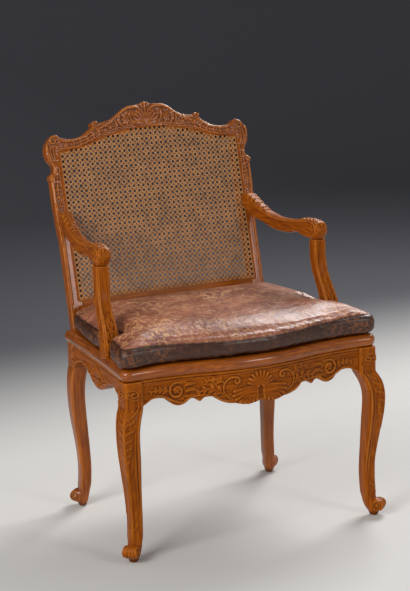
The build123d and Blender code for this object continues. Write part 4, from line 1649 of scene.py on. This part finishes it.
@dataclass
class SideRail:
    """Side seat rail with a small shell and foliage.

    Attributes:
        side: Side of the chair.
        middle: Depth of the shell.
        line: Height of the line cut below the seat.
    """

    side: Side
    middle: float = -45.0
    line: float = 406.0

    def strokes(self) -> list[Stroke]:
        """Carving of both halves, drawn from the shell outward.

        Returns:
            Its strokes.
        """
        edge = [(8, 352), (18, 354), (34, 361), (62, 371), (105, 369), (145, 364), (176, 357)]
        half = [
            Stroke(edge, 5.0, 2.0),
            *shell((0, 373), [(8, 355), (17, 358), (23, 365)], 8.0, 2.4),
            *shell((0, 373), [(8, 396), (16, 391), (22, 383)], 7.5, 2.2),
            Stroke([(20, 358), (32, 366), (35, 379), (27, 389)] + volute((25, 382), 6, 60, 1.0), 5.5, 2.4),
            *spray([(36, 372), (58, 379), (84, 383), (112, 379)], 15.0, 4, 2.0),
            *spray([(172, 368), (158, 375), (140, 377)], 13.0, 3, 1.8),
            Stroke([(0, self.line), (90, self.line), (182, self.line)], 3.0, 1.2, Profile.GROOVE, 1, 1),
        ]
        return mirrored(half) + shell((0, 373), [(0, 354), (0, 398)], 8.0, 2.5)

    def flat(self, points: np.ndarray) -> np.ndarray:
        """Places in front of or behind the shell, and upward."""
        return np.column_stack((points[:, 1] - self.middle, points[:, 2]))

    def build(self) -> None:
        """Carves the outer face."""
        piece = CarvedPiece(self.side.node("side_rail"), Grain.DEEP, 1.7)
        piece.carve(self.strokes(), self.flat, Vector((self.side.value, 0, 0)), 0.4)
        piece.finish()


@dataclass
class CaneWeave:
    """Six-way woven cane panel: paired uprights and rows, and slants across their corners.

    Attributes:
        name: Name of the piece.
        node: Node that it stands for.
        matrix: Matrix from the flat of the panel to the chair's frame.
        across: Least and greatest place across the panel.
        along: Least and greatest place along the panel.
        inside: Says which places are inside the line of holes.
        pitch: Distance from one pair to the next.
        strand: Width of a strand.
        pair_gap: Half the distance between the strands of a pair.
        wave: How far a strand rises and dips.
        flatness: Share of their height that is left to the strands and their waves.
        step: Step at which the ends of a strand are sought.
        shortest: Steps that a strand has at the least.
    """

    name: str
    node: str
    matrix: Matrix
    across: Point
    along: Point
    inside: Callable[[np.ndarray, np.ndarray], np.ndarray]
    pitch: float = 12.5
    strand: float = 1.75
    pair_gap: float = 2.2
    wave: float = 0.7
    flatness: float = 0.5
    step: float = 0.5
    shortest: int = 20

    def strand_path(self, origin: Point, way: Point, phase: float) -> np.ndarray | None:
        """One strand between the holes.

        Args:
            origin: A place on the strand.
            way: Its direction, of length 1.
            phase: Where its wave starts.

        Returns:
            Points across, along and out of the panel, or None if it misses the panel.
        """
        reach = 1.5 * max(self.across[1] - self.across[0], self.along[1] - self.along[0])
        steps = np.arange(-reach, reach, self.step)
        x = origin[0] + steps * way[0]
        v = origin[1] + steps * way[1]
        held = np.flatnonzero(self.inside(x, v))
        if len(held) < self.shortest:
            return None
        first = steps[held[0]]
        last = steps[held[-1]]
        count = max(2, int((last - first) / (self.pitch / 2)))
        places = np.linspace(first, last, count + 1)
        waves = self.wave * np.sin(math.pi * places / self.pitch + phase)
        return np.column_stack((origin[0] + places * way[0], origin[1] + places * way[1], waves))

    def paths(self) -> tuple[list[np.ndarray], list[np.ndarray]]:
        """All strands of the panel: uprights and rows, then slants.

        Returns:
            Paths of the uprights and rows, and paths of the slants.
        """
        slant = math.sqrt(0.5)
        found = []
        crossed = []
        middle = (self.across[0] + self.across[1]) / 2
        columns = int((self.across[1] - self.across[0]) / self.pitch / 2) + 1
        rows = int((self.along[1] - self.along[0]) / self.pitch) + 1
        for index in range(-columns, columns + 1):
            for gap in (-self.pair_gap, self.pair_gap):
                x = middle + index * self.pitch + gap
                found.append(self.strand_path((x, self.along[0]), (0, 1), math.pi * index + gap))
        for index in range(rows + 1):
            for gap in (-self.pair_gap, self.pair_gap):
                v = self.along[0] + (index + 0.5) * self.pitch + gap
                found.append(self.strand_path((middle, v), (1, 0), math.pi * (index + 0.5) + gap))
        for index in range(-columns - rows, columns + rows + 1):
            x = middle + index * self.pitch
            crossed.append(self.strand_path((x, self.along[0]), (slant, slant), math.pi * index))
            crossed.append(self.strand_path((x, self.along[0]), (-slant, slant), math.pi * (index + 0.5)))
        square = [path for path in found if path is not None]
        return square, [path for path in crossed if path is not None]

    def strands(self, paths: list[np.ndarray], slant: float) -> bpy.types.Mesh:
        """Makes round strands along some paths.

        Args:
            paths: Their paths in the flat of the panel.
            slant: 1 for slants and 0 for the others, kept as an attribute.

        Returns:
            Their mesh, flattened to the thickness of split cane.
        """
        curve = bpy.data.curves.new(self.name, "CURVE")
        curve.dimensions = "3D"
        curve.bevel_depth = self.strand / 2 * MM
        curve.bevel_resolution = 1
        curve.use_fill_caps = True
        for path in paths:
            strand = curve.splines.new("POLY")
            strand.points.add(len(path) - 1)
            flat = np.column_stack((path * MM, np.ones(len(path))))
            strand.points.foreach_set("co", flat.astype(np.float32).ravel())
        mesh = take_mesh(add_holder(curve))
        mesh.transform(Matrix.Diagonal((1, 1, self.flatness, 1)))
        store(mesh, "slant", np.full(len(mesh.vertices), slant))
        return mesh

    def build(self) -> None:
        """Makes the panel and puts it in its node's place."""
        square, crossed = self.paths()
        shape = bmesh.new()
        for paths, slant in ((square, 0.0), (crossed, 1.0)):
            shape.from_mesh(self.strands(paths, slant))
        mesh = mesh_of(shape, self.name)
        mesh.transform(self.matrix)
        piece = add_object(self.name, mesh, SplitCane().material())
        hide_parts(self.node)
        dress(piece, FRAME_BODY)


@dataclass
class Back:
    """Raked back: its cane and the ledge that the cane is laced to.

    Attributes:
        plane: Front face of the back.
        cane_half: Half the width of the ledge's outline.
        cane_low: Height of its lower edge.
        cane_side: Height of its upper corners.
        shoulder: Place across, and height, where the two arcs of its top meet.
        crown: Height of its top in the middle.
        inner: Half the width of the opening.
        ledge: Width of the ledge.
        thickness: Thickness of the ledge.
        bend: Bend of the hollow parts of its top.
        corners: Points along its top.
        mouth: Radius of a lacing hole's mouth.
        disc: Thickness of the dark disc in a mouth, which paints the shade of the hole.
        proud: Height of the disc's middle over the ledge.
        lay: Height of the cane's middle over the ledge.
    """

    plane: BackPlane
    cane_half: float = 240.0
    cane_low: float = 505.0
    cane_side: float = 858.0
    shoulder: Point = (145.0, 875.0)
    crown: float = 899.0
    inner: float = 228.0
    ledge: float = 12.0
    thickness: float = 2.2
    bend: float = 0.4
    corners: int = 41
    mouth: float = 3.2
    disc: float = 0.3
    proud: float = 0.2
    lay: float = 0.8

    def top(self, x: np.ndarray) -> np.ndarray:
        """Upper edge of the ledge's outline over places across the back, along its face.

        Args:
            x: Places across the back.

        Returns:
            One place along the face for each.
        """
        reach = np.abs(x)
        drop = self.plane.up(self.crown) - self.plane.up(self.shoulder[1])
        radius = (self.shoulder[0] ** 2 + drop**2) / (2 * drop)
        round_part = self.plane.up(self.crown) - radius + np.sqrt(np.maximum(radius**2 - reach**2, 0))
        share = rise(reach, self.shoulder[0], self.inner)
        fall = self.plane.up(self.shoulder[1]) - self.plane.up(self.cane_side)
        fallen = fall * ((1 + self.bend) * share - self.bend * share**2)
        hollow_part = self.plane.up(self.shoulder[1]) - fallen
        return np.where(reach < self.shoulder[0], round_part, hollow_part)

    def inside(self, x: np.ndarray, v: np.ndarray, edge: float = 4.0) -> np.ndarray:
        """Says which places are further inside the ledge's outline than an edge."""
        low = self.plane.up(self.cane_low) + edge
        return (np.abs(x) < self.cane_half - edge) & (v > low) & (v < self.top(x) - edge)

    def outline(self, inset: float) -> list[Point]:
        """Outline of the ledge, drawn in by an inset, with the same count for every inset.

        Args:
            inset: How far it is drawn in.

        Returns:
            Its corners across and along the face.
        """
        half = self.cane_half - inset
        across = np.linspace(-half, half, self.corners)
        upper = self.top(across) - inset
        low = self.plane.up(self.cane_low) + inset
        lower = [(float(x), low) for x in across[::-1]]
        return list(zip(across.tolist(), upper.tolist())) + lower

    def build_ledge(self) -> None:
        """Makes the flat ledge round the opening."""
        shape = bmesh.new()
        rings = []
        for inset in (0.0, self.ledge):
            verts = [shape.verts.new((x * MM, v * MM, 0)) for x, v in self.outline(inset)]
            rings.append([shape.edges.new(pair) for pair in zip(verts, verts[1:] + verts[:1])])
        bmesh.ops.bridge_loops(shape, edges=rings[0] + rings[1])
        bmesh.ops.recalc_face_normals(shape, faces=shape.faces)
        bmesh.ops.solidify(shape, geom=shape.faces, thickness=self.thickness * MM)
        bmesh.ops.recalc_face_normals(shape, faces=shape.faces)
        mesh = mesh_of(shape, "cane_ledge")
        high = max(vertex.co.z for vertex in mesh.vertices)
        mesh.transform(Matrix.Translation((0, 0, -high)))
        mesh.transform(self.plane.matrix())
        ledge = add_object("cane_ledge", mesh, WaxedWalnut(Grain.ACROSS).material())
        for polygon in ledge.data.polygons:
            polygon.use_smooth = False
        dress(ledge, FRAME_BODY)

    def build_mouths(self, pitch: float) -> None:
        """Makes dark discs at the lacing holes, between the strands over the ledge, as painted shade of the
        holes.

        Args:
            pitch: Distance from one pair of strands to the next.
        """
        columns = np.arange(-int(self.cane_half / pitch) - 1, int(self.cane_half / pitch) + 1) + 0.5
        rows = np.arange(0, int(self.plane.up(self.crown) / pitch) + 1)
        x, v = np.meshgrid(columns * pitch, self.plane.up(self.cane_low) + rows * pitch)
        held = self.inside(x, v, self.mouth) & ~self.inside(x, v, self.ledge - 1.0)
        shape = bmesh.new()
        for place in zip(x[held].tolist(), v[held].tolist(), strict=True):
            spot = Matrix.Translation((place[0] * MM, place[1] * MM, self.proud * MM))
            bmesh.ops.create_cone(
                shape,
                cap_ends=True,
                segments=10,
                radius1=self.mouth * MM,
                radius2=self.mouth * MM,
                depth=self.disc * MM,
                matrix=spot,
            )
        mesh = mesh_of(shape, "lacing_holes")
        mesh.transform(self.plane.matrix())
        # Dark discs at the lacing holes: painted shade of the holes
        dark = PlainFinish("hole_dark", "#120a06", "#1e120b", 0.9, 4.0)
        hole_discs = add_object("lacing_holes", mesh, dark.material())
        dress(hole_discs, FRAME_BODY)

    def build(self) -> None:
        """Makes the ledge, the cane over it and the painted shade at the lacing holes."""
        self.build_ledge()
        weave = CaneWeave(
            "woven_back",
            "back_cane",
            self.plane.matrix() @ Matrix.Translation((0, 0, self.lay * MM)),
            (-self.cane_half, self.cane_half),
            (self.plane.up(self.cane_low), self.plane.up(self.crown)),
            self.inside,
        )
        weave.build()
        self.build_mouths(weave.pitch)


@dataclass
class SeatCane:
    """Cane of the seat, below the squab.

    Attributes:
        front: Half width and place of the opening's front edge.
        rear: Half width and place of the opening's rear edge.
        height: Height of the seat's top.
        margin: How far the holes stand outside the opening.
        sunk: Depth of the cane's middle below the seat's top.
    """

    front: Point
    rear: Point
    height: float = SEAT_TOP
    margin: float = 5.0
    sunk: float = 1.1

    def inside(self, x: np.ndarray, y: np.ndarray) -> np.ndarray:
        """Says which places are inside the line of holes.

        Args:
            x: Places across the seat.
            y: Their depths.

        Returns:
            One answer per place.
        """
        share = (y - self.front[1]) / (self.rear[1] - self.front[1])
        half = self.front[0] + share * (self.rear[0] - self.front[0]) + self.margin
        return (np.abs(x) < half) & (y > self.front[1] - self.margin) & (y < self.rear[1] + self.margin)

    def build(self) -> None:
        """Makes the panel."""
        weave = CaneWeave(
            "woven_seat",
            "seat_cane",
            Matrix.Translation((0, 0, (self.height - self.sunk) * MM)),
            (-self.front[0] - self.margin, self.front[0] + self.margin),
            (self.front[1] - self.margin, self.rear[1] + self.margin),
            self.inside,
        )
        weave.build()


@dataclass
class Squab:
    """Loose leather squab: a cover swollen over its filling, with corded seams.

    Attributes:
        seat: Height that it lies on.
        seam: Height of the seam between boxing and top.
        voxel: Size of the faces that are simulated.
        pressure: Pressure of the filling.
        frames: Frames of simulation.
        reach: How far a point of the sides may swell.
        lift: How far a point of the top may swell.
        sink: How far it may sink.
        sag: How far the seam sags in the middle of the front.
        sag_depths: Depths where that sag begins and where it is full.
        sag_half: Half the width over which the seam sags.
        joint: Place of the upright seam in the front of the boxing.
        seam_width: Half the width of a seam.
        seam_depth: Depth of a seam.
        cord: How far the hide swells above the seam.
        pucker: Height of the puckers beside the seam and of the boxing's waves.
        worn: Wear of the top everywhere, and of the boxing in the middle.
        spots: Wear of each worn spot of the top, with its place and size across and in depth.
        fill_out: How far the hide stands over the filling's outline, away from the arm supports.
        settle: Height of the lower edge that settles on the frame.
        corner_reach: How far the left front corner is drawn out, and the right one a fifth as far.
        corner: Place of a front corner, as a distance from the middle and a depth.
        corner_size: Size of what is drawn out, across and in depth.
        corner_pull: Shares of the reach that go outward and forward.
        support: Place of an arm support, where the hide keeps to the filling.
        support_room: Radius of the room that the support needs.
        nosing: Radius of the frame's edge, over which the hide hangs.
        ease: How far the hide stays above it.
        hang_end: Depth behind which the hide lies flat.
        frame_half: Half the width of the frame's front.
        frame_front: Depth of the frame's front in the middle.
        bow: How far the frame's front lies back at its corners.
        bow_start: Distance from the middle where it begins to do so.
    """

    seat: float = SEAT_TOP + 0.3
    seam: float = 485.3
    voxel: float = 5.0
    pressure: float = 4.0
    frames: int = 20
    reach: float = 4.0
    lift: float = 9.0
    sink: float = 2.5
    sag: float = 8.0
    sag_depths: Point = (-180.0, -240.0)
    sag_half: float = 250.0
    joint: float = 168.0
    seam_width: float = 1.9
    seam_depth: float = 2.0
    cord: float = 1.1
    pucker: float = 0.9
    worn: Point = (0.45, 0.15)
    spots: tuple[tuple[float, Point, Point], ...] = (
        (0.7, (-235.0, 85.0), (-205.0, 80.0)),
        (0.5, (-40.0, 190.0), (10.0, 95.0)),
        (0.4, (270.0, 70.0), (-215.0, 50.0)),
    )
    fill_out: float = 6.0
    settle: float = 22.0
    corner_reach: float = 11.0
    corner: Point = (305.0, -262.0)
    corner_size: Point = (50.0, 45.0)
    corner_pull: Point = (0.5, 0.8)
    support: Point = (285.0, -110.0)
    support_room: float = 42.0
    nosing: float = 13.0
    ease: float = 0.8
    hang_end: float = -150.0
    frame_half: float = 326.0
    frame_front: float = -309.0
    bow: float = 31.0
    bow_start: float = 125.0

    def swell(self, mesh: bpy.types.Mesh) -> np.ndarray:
        """Lets the pad swell as cloth under pressure.

        Args:
            mesh: Even mesh of the filling.

        Returns:
            Places of its points after the swelling.
        """
        scene = bpy.context.scene
        holder = add_holder(mesh.copy())
        cloth = holder.modifiers.new("swell", "CLOTH")
        cloth.settings.quality = 5
        cloth.settings.mass = 0.4
        cloth.settings.use_pressure = True
        cloth.settings.uniform_pressure_force = self.pressure
        cloth.settings.effector_weights.gravity = 0.0
        cloth.point_cache.frame_start = 1
        cloth.point_cache.frame_end = self.frames
        for frame in range(1, self.frames + 1):
            scene.frame_set(frame)
        swollen = take_mesh(holder)
        points = read_points(swollen)
        bpy.data.meshes.remove(swollen)
        scene.frame_set(1)
        return points

    def seam_heights(self, points: np.ndarray) -> np.ndarray:
        """Heights of the seam, which sags in the middle of the front."""
        front = rise(points[:, 1], *self.sag_depths)
        return self.seam - self.sag * front * np.clip(1 - (points[:, 0] / self.sag_half) ** 2, 0, 1)

    def wear(self, points: np.ndarray, boxing: np.ndarray) -> np.ndarray:
        """How worn the hide is: most at the front left, in the middle and at the corners.

        Args:
            points: Places of the cover's points.
            boxing: How far each point belongs to the boxing.

        Returns:
            One share per point.
        """
        x, y = points[:, 0], points[:, 1]
        spots = sum(wear * bell(x, *across) * bell(y, *deep) for wear, across, deep in self.spots)
        top = np.clip(self.worn[0] + spots, 0, 1)
        sides = np.minimum(self.worn[1] + 0.5 * rise(np.abs(x), 165, 255), 0.6)
        return top + (sides - top) * boxing

    def drape(self, points: np.ndarray) -> None:
        """Draws the front corners out and lets the lower edge hang over the frame's nosing.

        Args:
            points: Places of the cover's points, which are moved.
        """
        across = bell(np.abs(points[:, 0]), self.corner[0], self.corner_size[0])
        corner = across * bell(points[:, 1], self.corner[1], self.corner_size[1])
        corner *= np.where(points[:, 0] < 0, self.corner_reach, 0.2 * self.corner_reach)
        outward, forward = self.corner_pull
        points[:, 0] += np.sign(points[:, 0]) * outward * corner
        points[:, 1] -= forward * corner
        beside = np.abs(points[:, 0])
        bow = self.bow * rise(beside, self.bow_start, self.frame_half) ** 1.5
        inner = np.minimum(self.frame_half - beside, points[:, 1] - self.frame_front - bow)
        over = np.clip(self.nosing - inner, 0, 0.9 * self.nosing)
        drop = self.nosing - np.sqrt(self.nosing**2 - over**2)
        low = rise(points[:, 2], self.seat + self.settle, self.seat)
        points[:, 2] -= np.maximum(drop - self.ease, 0) * low * (points[:, 1] < self.hang_end)

    def sew(self, mesh: bpy.types.Mesh) -> None:
        """Draws in the seams, puckers the hide beside them and marks what the finish needs.

        Args:
            mesh: Mesh of the cover, which is changed.
        """
        points = read_points(mesh)
        normals = read_normals(mesh)
        over = points[:, 2] - self.seam_heights(points)
        boxing = rise(over, 1.25, -1.25)
        seam = bell(over, 0, self.seam_width)
        front = boxing * (normals[:, 1] < -0.5)
        joint = bell(points[:, 0], self.joint, self.seam_width) * front
        along = points[:, 0] * np.abs(normals[:, 1]) + points[:, 1] * np.abs(normals[:, 0])
        waves = np.sin(along / 2.9 + 2.1 * np.sin(along / 19)) * np.sin(along / 31 + 0.7)
        beside = bell(over, 5, 8) * (1 - boxing)
        slack = np.sin(points[:, 0] / 37 + 2.0 * np.sin(points[:, 0] / 83)) * boxing
        swell = bell(over, 6, 6)
        side = np.clip(1.3 - 1.6 * np.abs(normals[:, 2]), 0, 1)
        gaps = np.hypot(np.abs(points[:, 0]) - self.support[0], points[:, 1] - self.support[1])
        free = rise(gaps, self.support_room, self.support_room + 30)
        fuller = np.interp(points[:, 1], (-210, -150, 70, 110), (1.5, 1, 1, 0))
        spread = self.fill_out * side * free * fuller
        moves = self.cord * swell + self.pucker * (waves * beside + slack) + spread
        moves -= self.seam_depth * np.maximum(seam, 0.7 * joint)
        points += normals * moves[:, None]
        low = rise(points[:, 2], self.seat, self.seat + self.settle)
        points[:, 2] -= 0.7 * self.settle * low * (1 - low)
        points[:, 2] = np.maximum(points[:, 2], self.seat)
        self.drape(points)
        write_points(mesh, points)
        store(mesh, "boxing", boxing)
        store(mesh, "seam", 0.9 * np.maximum(seam, joint))
        store(mesh, "worn", self.wear(points, boxing))

    def build(self) -> None:
        """Makes the cover."""
        mesh = remeshed_copy("squab_filling", self.voxel, 2)
        points = read_points(mesh)
        moves = self.swell(mesh) - points
        flat = np.linalg.norm(moves[:, :2], axis=1)
        moves[:, :2] *= np.minimum(1, self.reach / np.maximum(flat, 1e-6))[:, None]
        moves[:, 2] = np.clip(moves[:, 2], -self.sink, self.lift)
        points = points + moves
        points[:, 2] = np.maximum(points[:, 2], self.seat)
        write_points(mesh, points)
        shape = bmesh.new()
        shape.from_mesh(mesh)
        bmesh.ops.subdivide_edges(shape, edges=shape.edges, cuts=1, use_grid_fill=True, smooth=0.5)
        shape.to_mesh(mesh)
        shape.free()
        self.sew(mesh)
        cover = add_object("leather_squab", mesh, CrackedLeather().material())
        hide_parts("squab_cover", "squab_filling")
        dress(cover, SQUAB_BODY)


@dataclass
class Studio:
    """Plain pale floor, soft light and the camera of the photograph.

    Attributes:
        azimuth: Turn of the camera from the chair's front, in degrees, negative to the left.
        elevation: Its height above the horizon, in degrees.
        roll: Its roll, in degrees.
        place: Its place.
        focal: Focal length in pixels of the picture.
        centre: Place of the optical axis in the picture.
        picture: Width and height of the picture.
        floor_half: Half the width of the floor, in metres.
        sweep: Height of the floor's rear end and radius of its bend, in metres.
        sky: Colour of the light from all sides.
        glow: Strength of that light.
    """

    azimuth: float = -26.2
    elevation: float = 12.27
    roll: float = -1.68
    place: tuple[float, float, float] = (-1888.9, -3938.8, 1468.7)
    focal: float = 1887.24
    centre: Point = (218.62, 296.26)
    picture: Point = (410.0, 591.0)
    floor_half: float = 6.0
    sweep: Point = (5.0, 2.0)
    sky: str = "#e8e9ec"
    glow: float = 0.36

    def build_camera(self) -> None:
        """Puts the camera where the photograph was taken."""
        turn = math.radians(self.azimuth)
        lift = math.radians(self.elevation)
        roll = math.radians(self.roll)
        back = Vector(
            (math.sin(turn) * math.cos(lift), -math.cos(turn) * math.cos(lift), math.sin(lift))
        )
        level = Vector((math.cos(turn), math.sin(turn), 0))
        upright = back.cross(level)
        right = level * math.cos(roll) + upright * math.sin(roll)
        up = upright * math.cos(roll) - level * math.sin(roll)
        lens = bpy.data.cameras.new("camera")
        lens.sensor_width = 36.0
        lens.lens = lens.sensor_width * self.focal / self.picture[1]
        lens.shift_x = (self.picture[0] / 2 - self.centre[0]) / self.picture[1]
        lens.shift_y = (self.centre[1] - self.picture[1] / 2) / self.picture[1]
        camera = bpy.data.objects.new("camera", lens)
        placed = Matrix((right, up, back)).transposed().to_4x4()
        camera.matrix_world = Matrix.Translation(Vector(self.place) * MM) @ placed
        bpy.context.scene.collection.objects.link(camera)
        bpy.context.scene.camera = camera

    def build_lamp(self, name: str, place: Vector, aim: Vector, size: float, power: float) -> None:
        """Adds a soft lamp.

        Args:
            name: Name of the lamp.
            place: Where it hangs, in metres.
            aim: What it points at, in metres.
            size: Side of its panel, in metres.
            power: Its power in watts.
        """
        light = bpy.data.lights.new(name, "AREA")
        light.size = size
        light.energy = power
        lamp = bpy.data.objects.new(name, light)
        lamp.location = place
        lamp.rotation_euler = (aim - place).to_track_quat("-Z", "Y").to_euler()
        bpy.context.scene.collection.objects.link(lamp)

    def build_floor(self) -> None:
        """Makes the floor, which sweeps up behind the chair."""
        shape = bmesh.new()
        bmesh.ops.create_grid(shape, x_segments=1, y_segments=1, size=self.floor_half)
        rear = [edge for edge in shape.edges if all(vertex.co.y > 0 for vertex in edge.verts)]
        raised = bmesh.ops.extrude_edge_only(shape, edges=rear)["geom"]
        verts = [item for item in raised if isinstance(item, bmesh.types.BMVert)]
        height, radius = self.sweep
        bmesh.ops.translate(shape, verts=verts, vec=(0, 0, height))
        bmesh.ops.bevel(
            shape, geom=rear, offset=radius, affect="EDGES", segments=16, profile=0.5, material=-1
        )
        add_object("floor", mesh_of(shape, "floor"), StudioPaper().material())

    def build_light(self) -> None:
        """Lights the chair softly, from above on the right, from the left and from the front."""
        world = bpy.data.worlds.new("studio")
        world.use_nodes = True
        background = world.node_tree.nodes["Background"]
        background.inputs["Color"].default_value = linear(self.sky)
        background.inputs["Strength"].default_value = self.glow
        bpy.context.scene.world = world
        aim = Vector((0, 0, 0.5))
        self.build_lamp("key", Vector((2.0, 1.3, 2.6)), aim, 1.5, 85.0)
        self.build_lamp("fill", Vector((-2.9, -1.5, 1.9)), aim, 1.6, 78.0)
        self.build_lamp("front", Vector((1.3, -3.0, 1.4)), aim, 0.8, 18.0)

    def build(self) -> None:
        """Sets up the whole studio."""
        bpy.context.scene.view_settings.view_transform = "Standard"
        self.build_camera()
        self.build_floor()
        self.build_light()


PLAIN_WOOD = {
    "seat_frame_front": Grain.ACROSS,
    "seat_frame_rear": Grain.ACROSS,
    "seat_frame_side_left": Grain.DEEP,
    "seat_frame_side_right": Grain.DEEP,
    "rear_rail": Grain.ACROSS,
    "lower_back_rail": Grain.ACROSS,
}


def main() -> None:
    """Builds the chair's looks in order."""
    logging.basicConfig(level=logging.INFO, format="%(message)s")
    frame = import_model()
    Studio().build()
    for node, piece in frame["nodes"].items():
        grain = PLAIN_WOOD.get(node, Grain.UPRIGHT)
        piece.data.materials.clear()
        polish = SEAT_POLISH if node.startswith("seat_frame") else OLD_WAX
        piece.data.materials.append(WaxedWalnut(grain, polish=polish).material())
    plane = BackPlane(front=157.01)
    Back(plane).build()
    SeatCane(front=(262.0, -222.99), rear=(226.0, 116.0)).build()
    CrestRail(plane).build()
    FrontRail().build()
    for side in Side:
        FrontLeg(side).build()
        RearLeg(side, plane).build()
        Arm(side).build()
        ArmSupport(side).build()
        SideRail(side).build()
    Squab().build()


if __name__ == "__main__":
    main()
